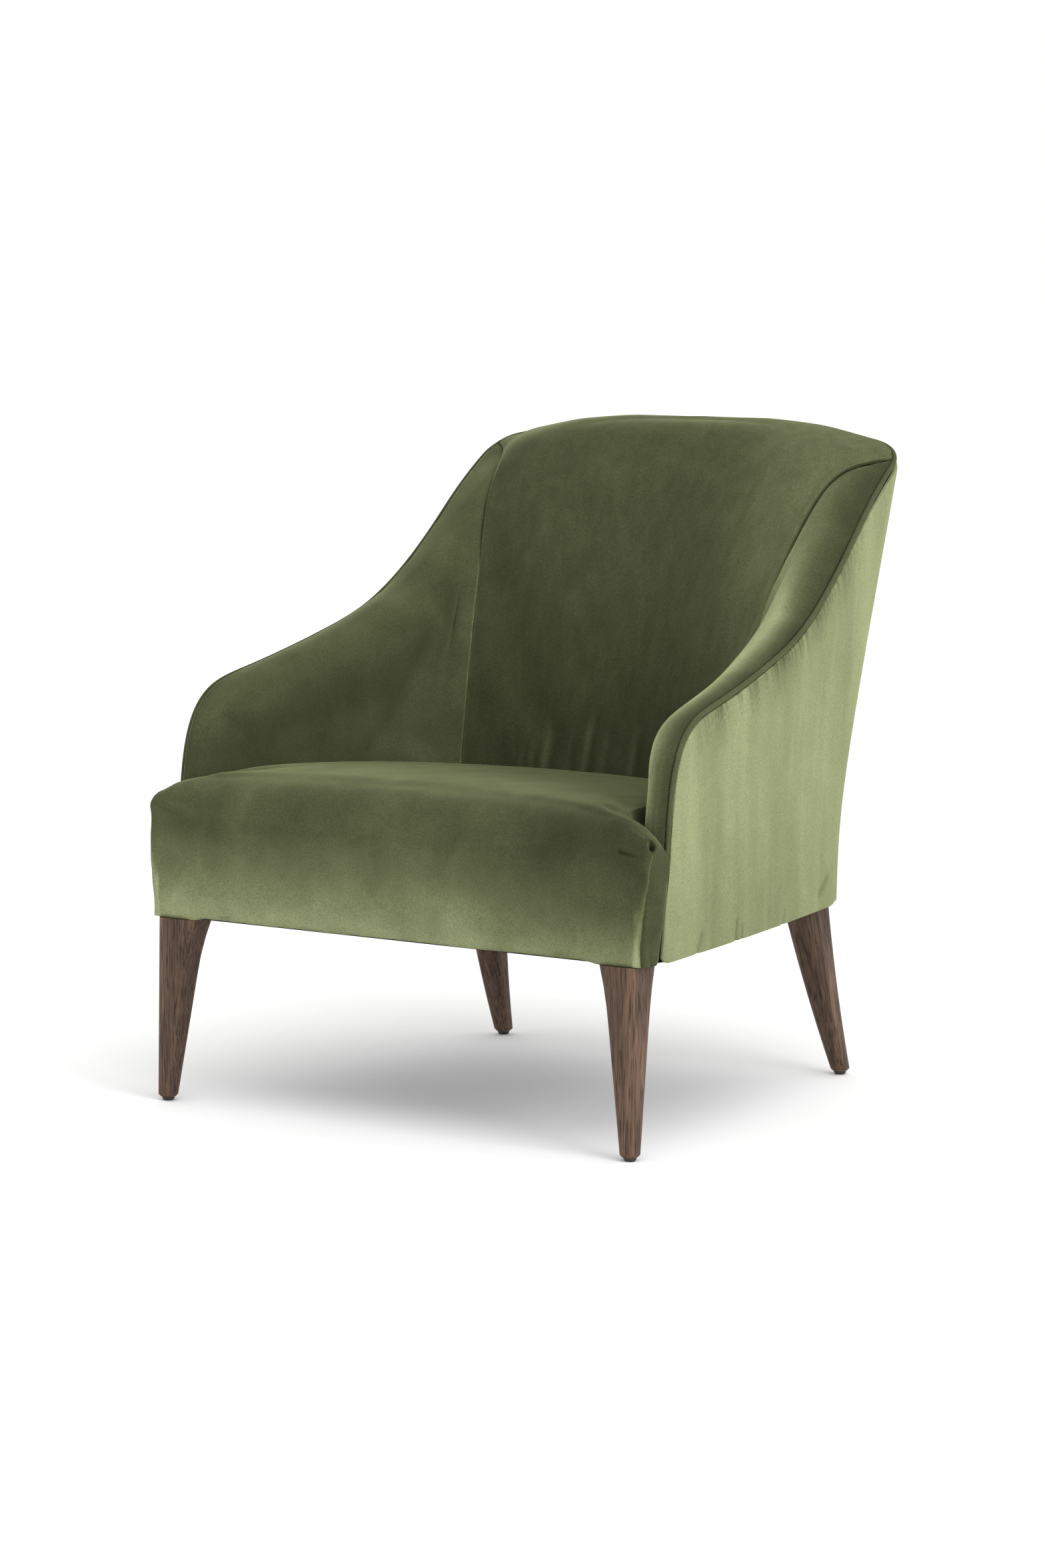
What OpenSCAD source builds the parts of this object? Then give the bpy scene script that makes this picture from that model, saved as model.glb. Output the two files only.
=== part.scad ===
// Upholstered lounge chair: a tight seat inside one flowing arm and back rim, on four tapered legs.
// Millimetres, +Z up. The chair faces -Y and stands on Z = 0. Left and right are the sitter's, left is +X.
// The body's own modules measure x from the middle, s back from the front of the seat,
// and z up from the underside of the frame.

/* [Overall] */
// Depth from the front of the seat to the rear of the back
overall_d = 700; // [685:1:730]
// Height of the underside of the frame above the floor
leg_h = 220; // [190:1:250]
// Height of the back's rim at the middle, above the underside
back_h = 573; // [540:1:620]
// Height of the arm's front shoulder above the underside
arm_h = 280; // [262:1:300]

/* [Outer shell] */
// Width over the arms at the front
front_w = 688; // [660:1:720]
// Width over the rear corners at the underside
rear_w = 540; // [510:1:570]
// Width over the rear corners at the rim
rim_w = 590; // [570:1:620]
// Depth from the seat's front to the rear corners at the underside
base_d = 588; // [570:1:605]
// How far the arm panels stand back from the seat's front
arm_set = 45; // [38:1:52]
// How much further back the arm is at seat level than at the underside
arm_lean = 12; // [4:1:16]
// Height above the underside where the rear wall starts to lean
kink_h = 107; // [90:1:130]
// Radius of the rear corners
corner_r = 40; // [30:1:50]
// Bow of the rear wall
back_bow = 6; // [2:1:12]
// Bow of the side walls
side_bow = 6; // [2:1:10]
// Thickness of the outside panels
panel_t = 3; // [2:0.5:4]
// Diameter of the welt cord
welt_d = 8; // [6:0.5:9]

/* [Inner padding] */
// Thickness of a sewn cover with its wadding
cover_t = 8; // [6:1:10]
// Width of the arm's padded roll
arm_roll = 46; // [43:1:52]
// Width of the roll at the rear corners
corner_roll = 162; // [150:1:170]
// Width of the roll at the middle of the back
back_roll = 98; // [88:1:106]
// Height of the roll at the middle of the back
roll_drop = 84; // [76:1:92]
// Fullness of the roll's crown
roll_crown = 7; // [2:1:10]
// Depth of the seat from its front to the inside back
seat_d = 470; // [455:1:485]
// Thickness of an arm at seat level
arm_t = 57; // [52:1:66]
// Height of the bottom edge of the inner covers above the underside
tuck_h = 112; // [108:1:120]

/* [Seat] */
// Height of the seat's crown above the underside
crown_h = 178; // [170:1:190]
// Height of the seat's front edge before it rounds over, above the underside
edge_h = 132; // [120:1:140]
// Radius of the rounded front edge
nose_r = 46; // [36:1:52]
// How far the seat's front stands out past each arm
seat_overhang = 3; // [0:0.5:8]
// How much the seat falls towards the back
seat_fall = 30; // [20:1:40]

/* [Frame] */
// Thickness of the hardwood rails
rail_t = 25; // [20:1:28]
// Height of the hardwood rails
rail_h = 90; // [80:1:95]
// Thickness of the plywood arm panels
ply_t = 18; // [15:1:20]
// How far the plywood lies inside the welt line
ply_inset = 14; // [12:1:20]
// Side of the square corner blocks
block_w = 56; // [50:1:60]
// Thickness of the back posts
post_w = 36; // [30:1:42]

/* [Legs] */
// Width of a leg at its top
leg_top_w = 49; // [46:1:54]
// Width of a leg at its foot
leg_foot_w = 21.5; // [20:0.5:28]
// How much the front legs widen inwards and backwards at their tops
leg_flare = 5; // [0:0.5:8]
// Distance of the front leg's axis inside the seat's side, at its top
front_leg_in = 36; // [32:1:44]
// Distance of the front leg's axis behind the seat's front, at its top
front_leg_s = 24.5; // [24:0.5:30]
// Distance of the rear leg's axis inside the shell's side, at its top
rear_leg_in = 35.5; // [32:0.5:42]
// Distance of the rear leg's axis ahead of the shell's back, at its top
rear_leg_back = 35.5; // [34:0.5:46]
// Outward splay of every leg
splay_x = 13; // [0:1:20]
// Forward splay of the front legs
front_splay = 13; // [0:1:14]
// Backward sweep of the rear legs
rear_sweep = 68; // [40:1:90]
// Height of the nail-on glides
glide_h = 4; // [3:0.5:6]

/* [Springs] */
// Number of sinuous springs
spring_count = 5; // [4:1:6]
// Wire diameter of the springs
wire_d = 3.8; // [3:0.2:4.2]
// Rise of a spring at the middle of its span
spring_rise = 9; // [6:1:10]

/* [Hidden] */
gap = 0.3;
seat_front_half = front_w / 2 + seat_overhang;
seat_half = front_w / 2 - arm_t;
front_leg_x = seat_front_half - front_leg_in;
rear_leg_x = rear_w / 2 - rear_leg_in;
rear_leg_s = base_d - rear_leg_back;
velvet = "#6b7a45";
velvet_dark = "#56633a";
walnut = "#4b3a30";
beech = "#d9b98a";
plywood = "#cfa977";
foam = "#efe6c8";
steel = "#8d9196";
black = "#2b2b2b";

// Small vector helpers and curves.
function mix(a, b, t) = a + (b - a) * t;
function unit(v) = v / norm(v);
function bez2(a, b, c, t) = mix(mix(a, b, t), mix(b, c, t), t);
function bez3(a, b, c, d, t) = mix(bez2(a, b, c, t), bez2(b, c, d, t), t);
function steps(n) = [for (i = [0:n]) i / n];
function pick(list, i) = list[min(abs(i), 2 * (len(list) - 1) - i)];
function lookup_smooth(list, r) =
    let (i = max(0, min(len(list) - 2, floor(r))), t = r - i,
        a = pick(list, i - 1), b = list[i], c = list[i + 1], d = pick(list, i + 2))
    b + t / 2 * (c - a + t * (2 * a - 5 * b + 4 * c - d + t * (3 * (b - c) + d - a)));
function mirrored(p) = [-p[0], p[1], p[2]];

// Plan of the outer shell. q runs from the arm's front (0) to the rear corner (1 to 2) and the middle (3).
lean_soft = 30;
function lean(z) =
    (z - kink_h + sqrt(pow(z - kink_h, 2) + pow(lean_soft, 2))) / 2 / (back_h - kink_h);
function plan_front(z) =
    [front_w / 2 + 3 * lean(z), arm_set + arm_lean * min(1, z / edge_h)];
function plan_corner(z) =
    [mix(rear_w, rim_w, lean(z)) / 2, mix(base_d, overall_d - back_bow, lean(z))];
function plan(q, z) =
    let (a = plan_front(z), k = plan_corner(z), k1 = k + corner_r * unit(a - k), k2 = k - [corner_r, 0])
    q <= 1 ? mix(a, k1, q) + [side_bow * sin(180 * q), 0]
    : q <= 2 ? bez2(k1, k, k2, q - 1)
    : [k2[0] * (3 - q), k[1] + back_bow * (1 - pow(3 - q, 2))];
plan_step = 0.01;
function plan_dir(q, z) = unit(plan(min(3, q + plan_step), z) - plan(max(0, q - plan_step), z));
function wall_in(q, z) = q > 2.98 ? [0, -1, 0] : let (t = plan_dir(q, z)) [-t[1], t[0], 0];
function shell_pt(q, z, depth) = let (p = plan(q, z)) [p[0], p[1], z] + depth * wall_in(q, z);

// The rim that the welt follows: six curves of [q, z], from the arm's front (r = 0) to the middle (r = 6).
rise = back_h - arm_h;
function rim_z(f) = arm_h + f * rise;
rim_curves = [
    [[0, 0.4 * arm_h], [0, 0.83 * arm_h], [0.06, 0.96 * arm_h], [0.175, arm_h]],
    [[0.175, arm_h], [0.296, rim_z(0.04)], [0.452, rim_z(0.11)], [0.569, rim_z(0.18)]],
    [[0.569, rim_z(0.18)], [0.690, rim_z(0.25)], [0.792, rim_z(0.43)], [0.869, rim_z(0.60)]],
    [[0.869, rim_z(0.60)], [0.915, rim_z(0.70)], [0.965, rim_z(0.78)], [1, rim_z(0.83)]],
    [[1, rim_z(0.83)], [1.3, rim_z(0.868)], [1.6, rim_z(0.905)], [2, rim_z(0.932)]],
    [[2, rim_z(0.932)], [2.25, rim_z(0.955)], [2.6, rim_z(1)], [3, rim_z(1)]]];
function rim_qz(r) =
    let (i = max(0, min(5, floor(r))), c = rim_curves[i]) bez3(c[0], c[1], c[2], c[3], r - i);
function rim_pt(r, depth = 0) = let (k = rim_qz(r)) shell_pt(k[0], k[1], depth);
rim_step = 0.02;
function rim_dir(r) = r > 5.97 ? [-1, 0, 0] : unit(rim_pt(min(6, r + rim_step)) - rim_pt(max(0, r - rim_step)));
function rim_in(r) = let (k = rim_qz(r)) wall_in(k[0], k[1]);
function rim_up(r) = unit(cross(rim_dir(r), rim_in(r)));

// The inside: each section r starts beside the welt, goes over a roll and falls to the tucked bottom edge.
well_curve = [[seat_half, 0.17 * seat_d], [0.98 * seat_half, 0.74 * seat_d], [0.75 * seat_half, seat_d], [0, seat_d]];
function well_plan(p) = bez3(well_curve[0], well_curve[1], well_curve[2], well_curve[3], p);
well_at = [0.02, 0.16, 0.34, 0.48, 0.60, 0.72, 1];
roll_widths = [arm_roll, arm_roll, 1.26 * arm_roll, 0.7 * corner_roll, 0.88 * corner_roll, corner_roll, back_roll];
roll_drops = [for (k = [0.4, 0.4, 0.48, 1, 1.17, 1.19, 1]) k * roll_drop];
roll_crowns = [for (k = [1, 1, 1, 0.43, -1, -0.29, 1.43]) k * roll_crown];
roll_aims = [0, 0, 0.3, 0.8, 0.93, 0.8, 1];
roll_plumbs = [0, 0, 0, 0.4, 1, 1, 0];
roll_leans = [0, 0, 0, 0.1, 0.35, 0.3, 0.25];
function foot_pt(r) = let (w = well_plan(lookup_smooth(well_at, r))) [w[0], w[1], tuck_h];
function roll_start(r) = rim_pt(r, welt_d + gap);
function roll_aim(r, k) =
    let (m = rim_in(r), a = foot_pt(r) - rim_pt(r))
    r > 5.97 ? [0, -1, 0] : unit(mix(m, unit([a[0], a[1], 0]), k));
function roll_dir(r) = roll_aim(r, lookup_smooth(roll_aims, r));
function roll_down(r) = unit(mix(-rim_up(r), [0, 0, -1], lookup_smooth(roll_plumbs, r)));
function roll_end(r) =
    rim_pt(r) + lookup_smooth(roll_widths, r) * roll_dir(r) + lookup_smooth(roll_drops, r) * roll_down(r);
function inside_pt(r, w) =
    let (a = roll_start(r), b = roll_end(r), c = foot_pt(r), fall = unit(c - b),
        turn = unit(mix(roll_down(r), fall, 0.55) + lookup_smooth(roll_leans, r) * roll_dir(r)),
        start = 0.4 * lookup_smooth(roll_widths, r) * roll_aim(r, 0.5 * lookup_smooth(roll_aims, r)),
        crown = lookup_smooth(roll_crowns, r) * rim_up(r),
        drop = lookup_smooth(roll_drops, r), reach = norm(c - b) / 3,
        settle = unit(mix([0, 0, -1], fall, 0.6)))
    w <= 1 ? bez3(a, a + start + crown, b - drop * turn, b, w)
    : bez3(b, b + reach * turn, c - reach * settle, c, w - 1);
inside_step = 0.01;
function inside_normal(r, w) =
    let (r0 = max(0, r - inside_step), r1 = min(6, r + inside_step),
        w0 = max(0, w - inside_step), w1 = min(2, w + inside_step),
        along = r > 5.97 ? [-1, 0, 0] : inside_pt(r1, w) - inside_pt(r0, w))
    unit(cross(along, inside_pt(r, w1) - inside_pt(r, w0)));
function padded_pt(r, w, depth) = inside_pt(r, w) - depth * inside_normal(r, w);

// Closed solid between two point grids of the same size, the first one facing outwards.
function grid_faces(n, m, base, flip) = [for (i = [0:n - 2], j = [0:m - 2])
    let (a = base + i * m + j, b = a + 1, c = a + m, d = c + 1)
    each (flip ? [[a, b, d], [a, d, c]] : [[a, d, b], [a, c, d]])];
function strip_faces(ids, shift, flip) = [for (i = [0:len(ids) - 2])
    let (a = ids[i], b = ids[i + 1], c = a + shift, d = b + shift)
    each (flip ? [[a, d, b], [a, c, d]] : [[a, b, d], [a, d, c]])];
module slab(outer, inner) {
    n = len(outer);
    m = len(outer[0]);
    size = n * m;
    first_row = [for (j = [0:m - 1]) j];
    last_row = [for (j = [0:m - 1]) (n - 1) * m + j];
    first_col = [for (i = [0:n - 1]) i * m];
    last_col = [for (i = [0:n - 1]) i * m + m - 1];
    polyhedron([each each outer, each each inner], [
        each grid_faces(n, m, 0, true),
        each grid_faces(n, m, size, false),
        each strip_faces(first_row, size, true),
        each strip_faces(last_row, size, false),
        each strip_faces(first_col, size, false),
        each strip_faces(last_col, size, true)]);
}
module at_body() {
    translate([0, -overall_d / 2, leg_h]) children();
}
module right_side() {
    mirror([1, 0, 0]) children();
}

// Seam between the inside arm and the inside back, and the corner seam of the outside panels.
seam_r = 4.3;
outer_seam_r = 4.5;
arm_rs = [each steps(6), 1.33, 1.67, 2, 2.3, 2.6, 2.9, 3.2, 3.5, 3.8, 4.05, seam_r];
back_rs = [seam_r, 4.6, 5, 5.33, 5.67, 6];
inside_ws = [0, 0.2, 0.4, 0.58, 0.72, 0.86, 1, 1.12, 1.25, 1.4, 1.55, 1.7, 1.85, 2];
seam_gap = 0.4;

function inside_grid(rs, depth) = [for (r = rs) [for (w = inside_ws) padded_pt(r, w, depth)]];
module inside_arm() {
    slab(inside_grid(arm_rs, 0), inside_grid(arm_rs, cover_t));
}
function back_half(depth) = [for (i = [0:len(back_rs) - 1])
    let (r = back_rs[i]) [for (w = inside_ws)
        let (p = padded_pt(r, w, depth)) i == 0 ? p + seam_gap * [-1, 0, 0] : p]];
function across(half) = [each half, each [for (i = [len(half) - 2:-1:0]) [for (p = half[i]) mirrored(p)]]];
module inside_back() {
    color(velvet_dark)
        at_body()
            slab(across(back_half(0)), across(back_half(cover_t)));
}
module inside_arm_left() {
    color(velvet) at_body() inside_arm();
}
module inside_arm_right() {
    color(velvet) at_body() right_side() inside_arm();
}

// Outside panels: a thin skin between the base line and the underside of the welt.
panel_vs = steps(6);
panel_below = welt_d + 6 * gap;
panel_rs = [each steps(6), 1.33, 1.67, 2, 2.33, 2.67, 3, 3.33, 3.67, 4, 4.25, outer_seam_r];
outside_back_rs = [outer_seam_r, 4.75, 5, 5.33, 5.67, 6];
function base_q(r) = r < 4 ? mix(rim_qz(r)[0], r / 4, 0.5) : rim_qz(r)[0];
function panel_pt(r, v, depth) =
    let (k = rim_qz(r))
    shell_pt(mix(base_q(r), k[0], v), mix(0, k[1], v), depth) - pow(v, 4) * panel_below * rim_up(r);
function panel_grid(rs, depth) = [for (r = rs) [for (v = panel_vs) panel_pt(r, v, depth)]];
module outside_arm() {
    slab(panel_grid(panel_rs, 0), panel_grid(panel_rs, panel_t));
}
module outside_arm_left() {
    color(velvet) at_body() outside_arm();
}
module outside_arm_right() {
    color(velvet) at_body() right_side() outside_arm();
}
function outside_half(depth) = [for (i = [0:len(outside_back_rs) - 1])
    [for (v = panel_vs)
        let (p = panel_pt(outside_back_rs[i], v, depth)) i == 0 ? p + seam_gap * [-0.7, 0.7, 0] : p]];
module outside_back() {
    color(velvet_dark)
        at_body()
            slab(across(outside_half(0)), across(outside_half(panel_t)));
}

// Welt cord: one tube along the whole rim.
welt_rs = [for (i = [0:36]) 6 * i / 36];
welt_sides = 8;
function welt_ring(r) =
    let (c = rim_pt(r, welt_d / 2) - welt_d / 2 * rim_up(r))
    [for (i = [0:welt_sides - 1]) let (a = -360 * (i + 0.5) / welt_sides)
        c + welt_d / 2 * (cos(a) * rim_in(r) + sin(a) * rim_up(r))];
module tube(rings) {
    n = len(rings);
    m = len(rings[0]);
    polyhedron([each each rings], [
        for (i = [0:n - 2], j = [0:m - 1])
            let (a = i * m + j, b = i * m + (j + 1) % m, c = a + m, d = b + m)
            each [[a, b, d], [a, d, c]],
        [for (j = [m - 1:-1:0]) j],
        [for (j = [0:m - 1]) (n - 1) * m + j]]);
}
module welt_cord() {
    left = [for (r = welt_rs) welt_ring(r)];
    right = [for (i = [len(left) - 2:-1:0])
        [for (j = [0:welt_sides - 1]) let (p = left[i][j]) mirrored(p)]];
    color(velvet)
        at_body()
            tube([each left, each right]);
}

// Seat: slices across the chair, each a profile from the front hem over the nose to its rear edge.
notch_s = arm_set - 2 * gap;
arm_clear = 1.8;
hem_bulge = 4;
nose_steps = 5;
crown_s = 140;
side_r = 26;
seat_in = seat_half - arm_clear;
slice_half = [each [for (k = [0, 0.2, 0.4, 0.58, 0.74, 0.87, 0.95, 1]) k * seat_in],
    each [for (k = [0.1, 0.35, 0.65, 0.88, 1]) mix(seat_in, seat_front_half, k)]];
side_closing = [0.6, 0.03];
function well_s(x, lo = 0, hi = 1, n = 14) =
    let (m = (lo + hi) / 2)
    n == 0 ? well_plan(m)[1] : well_plan(m)[0] > x ? well_s(x, m, hi, n - 1) : well_s(x, lo, m, n - 1);
function past_arm(x) = x > seat_in + 4;
function slice_end(x) =
    past_arm(x) ? notch_s + arm_lean - roll_crown : x > seat_in - 1 ? notch_s + 50 : well_s(x + arm_clear) - arm_clear;
function side_round(x) =
    let (e = side_r - seat_front_half + x) e <= 0 ? 0 : side_r - sqrt(side_r * side_r - e * e);
function corner_back(x) = 6 * pow(max(0, (x - seat_front_half + 14) / 14), 2);
function seat_level(x, s) =
    crown_h - seat_fall * pow(max(0, s - crown_s) / (seat_d - crown_s), 1.5)
        - 8 * pow(x / seat_half, 2) - side_round(x)
        - 24 * pow(max(0, (x - seat_in) / (seat_front_half - seat_in)), 2) * min(1, s / notch_s);
function slice_profile(x, inset) =
    let (end = slice_end(x) - inset, front = inset + corner_back(x),
        nose = (past_arm(x) ? 0.6 * notch_s : nose_r) - inset / 2,
        edge = edge_h - 0.5 * side_round(x), far = max(end - 12, front + nose + 2))
    [[front + hem_bulge, 0], [front + hem_bulge / 4, 0.27 * edge], [front, 0.57 * edge],
        [front + 0.5, 0.87 * edge],
        each [for (i = [0:nose_steps])
            let (a = 90 * i / nose_steps, s = front + 1 + nose * (1 - cos(a)))
            [s, edge + (seat_level(x, s) - inset - edge) * sin(a)]],
        each [for (f = [0.18, 0.4, 0.65, 0.85])
            let (s = mix(front + 1 + nose, far, f)) [s, seat_level(x, s) - inset]],
        [far, seat_level(x, far) - inset - 1],
        [end - 3, seat_level(x, end) - inset - 5],
        [end, seat_level(x, end) - inset - 14],
        x > seat_front_half - 1 ? [notch_s - inset, 0] : [end, past_arm(x) ? rail_top + 2 * gap : tuck_h - 5]];
function slice_at(x, inset) =
    let (k = x - inset * max(0, (x - seat_in) / (seat_front_half - seat_in)))
    [for (p = slice_profile(x, inset)) [k, p[0], p[1]]];
function seat_grid(inset) = [
    each [for (x = slice_half) slice_at(x, inset)],
    each [for (k = side_closing) [for (p = slice_at(seat_front_half, inset))
        [p[0], mix(notch_s / 2, p[1], k), p[2] * k]]]];
function both_sides(half) =
    [each [for (i = [len(half) - 1:-1:1]) [for (p = half[i]) mirrored(p)]], each half];
module seat_cover() {
    color(velvet)
        at_body()
            slab(both_sides(seat_grid(0)), both_sides(seat_grid(cover_t)));
}

// Frame values: plywood outside, hardwood rails inside it, posts and blocks at the corners.
ply_depth = panel_t + gap;
rail_depth = ply_depth + ply_t + gap;
rail_z = 2;
rail_top = rail_z + rail_h;
front_s = cover_t + hem_bulge + 2 * gap;
arm_post_s = 80;
arm_post_d = 30;
arm_post_w = 24;
arm_post_top = 165;
front_block_x1 = seat_front_half - cover_t - 12;
front_block_x0 = front_leg_x - block_w / 2;
front_block_s1 = arm_post_s - gap;
rear_wall_s = base_d - panel_t - gap;
post_inset_x = 16;
post_inset_s = 12;
post_d = 30;
rear_block_x1 = rear_w / 2 - post_inset_x;
rear_block_s1 = base_d - post_inset_s;
rear_block_s0 = rear_block_s1 - block_w;
slope_s = (overall_d - back_bow - base_d) / (back_h - kink_h);
slope_x = (rim_w - rear_w) / 2 / (back_h - kink_h);
function post_front(z) = rear_block_s1 - post_d + slope_s * (z - kink_h);
module leaning(with_x = 0) {
    multmatrix([[1, 0, with_x * slope_x, -with_x * slope_x * kink_h],
        [0, 1, slope_s, -slope_s * kink_h], [0, 0, 1, 0]]) children();
}

// Straight base line of a side wall, moved inwards by a depth.
base_a = plan_front(0);
base_k = plan_corner(0);
side_turn = atan((base_a[0] - base_k[0]) / (base_k[1] - base_a[1]));
function side_x(s, depth) = base_a[0] - (s - base_a[1]) * tan(side_turn) - depth / cos(side_turn);
module side_board(s0, s1, depth, thick, z0, z1) {
    translate([0, 0, z0])
        linear_extrude(z1 - z0)
            polygon([[side_x(s0, depth), s0], [side_x(s1, depth), s1],
                [side_x(s1, depth + thick), s1], [side_x(s0, depth + thick), s0]]);
}
module across_side(s, z) {
    translate([side_x(s, ply_depth), s, z]) rotate([0, 0, side_turn]) rotate([0, -90, 0]) children();
}
rail_s0 = arm_post_s + arm_post_d + gap;
rail_s1 = rear_block_s0 - gap;
screw_in = 20;
screw_zs = [rail_z + 0.3 * rail_h, rail_z + 0.73 * rail_h];
screw_places = [each [for (s = [rail_s0 + 2 * screw_in, rail_s1 - screw_in], z = screw_zs) [s, z]],
    [mix(rail_s0, rail_s1, 0.54), rail_z + rail_h / 2]];
screw_d = 4.5;
screw_len = 38;
screw_head_d = 9;
module screw_shape(extra = 0) {
    cylinder(d = screw_d + extra, h = screw_len, $fn = 16);
    cylinder(d = screw_head_d + extra, h = 3 + extra / 2, $fn = 24);
}

module front_rail() {
    color(beech)
        at_body()
            translate([-front_block_x0 + gap, front_s, rail_z])
                cube([2 * (front_block_x0 - gap), rail_t, rail_h]);
}
rear_rail_half = rear_block_x1 - block_w - gap;
module rear_rail() {
    color(beech)
        at_body()
            translate([-rear_rail_half, rear_wall_s - rail_t, rail_z]) cube([2 * rear_rail_half, rail_t, rail_h]);
}
module side_rail() {
    difference() {
        side_board(rail_s0, rail_s1, rail_depth, rail_t, rail_z, rail_top);
        for (p = screw_places) across_side(p[0], p[1]) screw_shape(2 * gap);
    }
}
module side_rail_left() {
    color(beech) at_body() side_rail();
}
module side_rail_right() {
    color(beech) at_body() right_side() side_rail();
}
bolt_d = 8;
bolt_in = 32;
bolt_places = [[front_leg_x, front_leg_s], [rear_leg_x, rear_leg_s]];
module bolt_bores() {
    for (p = bolt_places)
        translate([p[0], p[1], 0])
            cylinder(d = bolt_d + 2 * gap, h = 2 * bolt_in + 4, center = true, $fn = 32);
}
module corner_blocks() {
    color(beech)
        at_body()
            for (side = [0, 1])
                mirror([side, 0, 0])
                    difference() {
                        union() {
                            translate([front_block_x0, front_s, rail_z])
                                cube([front_block_x1 - front_block_x0, front_block_s1 - front_s, rail_h]);
                            translate([rear_block_x1 - block_w, rear_block_s0, rail_z])
                                cube([block_w, block_w, rail_h]);
                        }
                        bolt_bores();
                    }
}
module arm_post() {
    side_board(arm_post_s, arm_post_s + arm_post_d, ply_depth, arm_post_w, rail_z, arm_post_top);
}
module arm_post_left() {
    color(beech) at_body() arm_post();
}
module arm_post_right() {
    color(beech) at_body() right_side() arm_post();
}

// Plywood side: its top edge follows the rim, its rear edge leans with the back post.
ply_s0 = rail_s0 + ply_t * sin(side_turn) + gap;
ply_rear = rear_block_s1 - post_d - 16;
ply_rs = [for (i = [0:16]) 0.72 + i * 0.2];
function ply_edge(r) = let (p = rim_pt(r) - ply_inset * rim_up(r)) [p[1], p[2]];
ply_top = [for (r = ply_rs)
    let (p = ply_edge(r)) if (p[0] > ply_s0 + 6 && p[0] < ply_rear + slope_s * (p[1] - kink_h) - 6) p];
ply_last = ply_top[len(ply_top) - 1];
ply_outline = [[ply_s0, rail_z], [ply_s0, ply_top[0][1] - 8], each ply_top,
    [ply_rear + slope_s * (ply_last[1] - kink_h), ply_last[1] + 2], [ply_rear, kink_h], [ply_rear, rail_z]];
ply_windows = [[190, 150, 110, 70], [345, 150, 120, 110]];
window_r = 18;
module window(w) {
    translate([w[0] + window_r, w[1]]) square([w[2] - 2 * window_r, w[3]]);
    translate([w[0], w[1] + window_r]) square([w[2], w[3] - 2 * window_r]);
    for (i = [0, 1], j = [0, 1])
        translate([w[0] + window_r + i * (w[2] - 2 * window_r), w[1] + window_r + j * (w[3] - 2 * window_r)])
            circle(window_r, $fn = 32);
}
module arm_panel() {
    difference() {
        translate([side_x(0, ply_depth), 0, 0])
            rotate([0, 0, side_turn])
                scale([1, 1 / cos(side_turn), 1])
                    rotate([90, 0, -90])
                        mirror([1, 0, 0])
                            linear_extrude(ply_t)
                                difference() {
                                    polygon(ply_outline);
                                    for (w = ply_windows) window(w);
                                }
        for (p = screw_places) across_side(p[0], p[1]) screw_shape(2 * gap);
    }
}
module arm_panel_left() {
    color(plywood) at_body() arm_panel();
}
module arm_panel_right() {
    color(plywood) at_body() right_side() arm_panel();
}

// Back posts stand on the rear blocks and lean out and back with the corner.
post_top = 0.81 * back_h;
module back_post() {
    leaning(1)
        translate([rear_block_x1 - post_w, rear_block_s1 - post_d, rail_top + gap])
            cube([post_w, post_d, post_top - rail_top - gap]);
}
module back_post_left() {
    color(beech) at_body() back_post();
}
module back_post_right() {
    color(beech) at_body() right_side() back_post();
}
crest_t = 24;
crest_drop = 22;
crest_half = rear_block_x1 - 8;
crest_top = [for (k = [1, 0.8, 0.56, 0.28, 0]) let (x = k * crest_half)
    [x, rim_qz(6 - x / (rim_w / 2 - corner_r))[1] - crest_drop]];
module crest_rail() {
    outline = [[-crest_half, post_top + gap], [crest_half, post_top + gap], each crest_top,
        each [for (i = [3:-1:0]) [-crest_top[i][0], crest_top[i][1]]]];
    color(beech)
        at_body()
            leaning()
                translate([0, rear_block_s1, 0])
                    rotate([90, 0, 0])
                        linear_extrude(crest_t) polygon(outline);
}
lower_rail_h = 40;
lower_rail_z = rail_top + ply_t;
module lower_back_rail() {
    half = rear_block_x1 - post_w - gap;
    color(beech)
        at_body()
            leaning()
                translate([-half, rear_block_s1 - post_d, lower_rail_z]) cube([2 * half, rail_t, lower_rail_h]);
}
liner_t = 20;
liner_top = tuck_h - 4;
module arm_liner() {
    side_board(rail_s0, rail_s1 - 20, rail_depth, liner_t, rail_top + gap, liner_top);
}
module arm_liner_left() {
    color(beech) at_body() arm_liner();
}
module arm_liner_right() {
    color(beech) at_body() right_side() arm_liner();
}
module frame_screws() {
    color(steel)
        at_body()
            for (side = [0, 1])
                mirror([side, 0, 0])
                    for (p = screw_places) across_side(p[0], p[1]) screw_shape();
}

// Springs: each wire weaves from side to side and arches from the front rail to the rear rail.
clip_t = 1.2;
clip_w = 12;
clip_gap = wire_d + 2 * gap;
wire_z = rail_top + clip_t + clip_gap / 2;
spring_s0 = front_s + 14;
spring_s1 = rear_wall_s - 14;
spring_waves = 22;
spring_half_w = 24;
wave_samples = 4;
wire_sides = 5;
spring_pitch = (spring_s1 - spring_s0) / spring_waves;
spring_span = 2 * (rear_rail_half - spring_half_w - clip_w / 2);
spring_xs = [for (i = [0:spring_count - 1]) -spring_span / 2 + i * spring_span / (spring_count - 1)];
function wire_pt(k) =
    let (t = 0.5 + k / wave_samples, f = (t - 0.5) / spring_waves)
    [spring_half_w * cos(180 * t), spring_s0 + spring_pitch * (t - 0.5 + 0.13 * sin(360 * t)),
        wire_z + spring_rise * (1 - pow(2 * f - 1, 2))];
wire_last = spring_waves * wave_samples;
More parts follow.
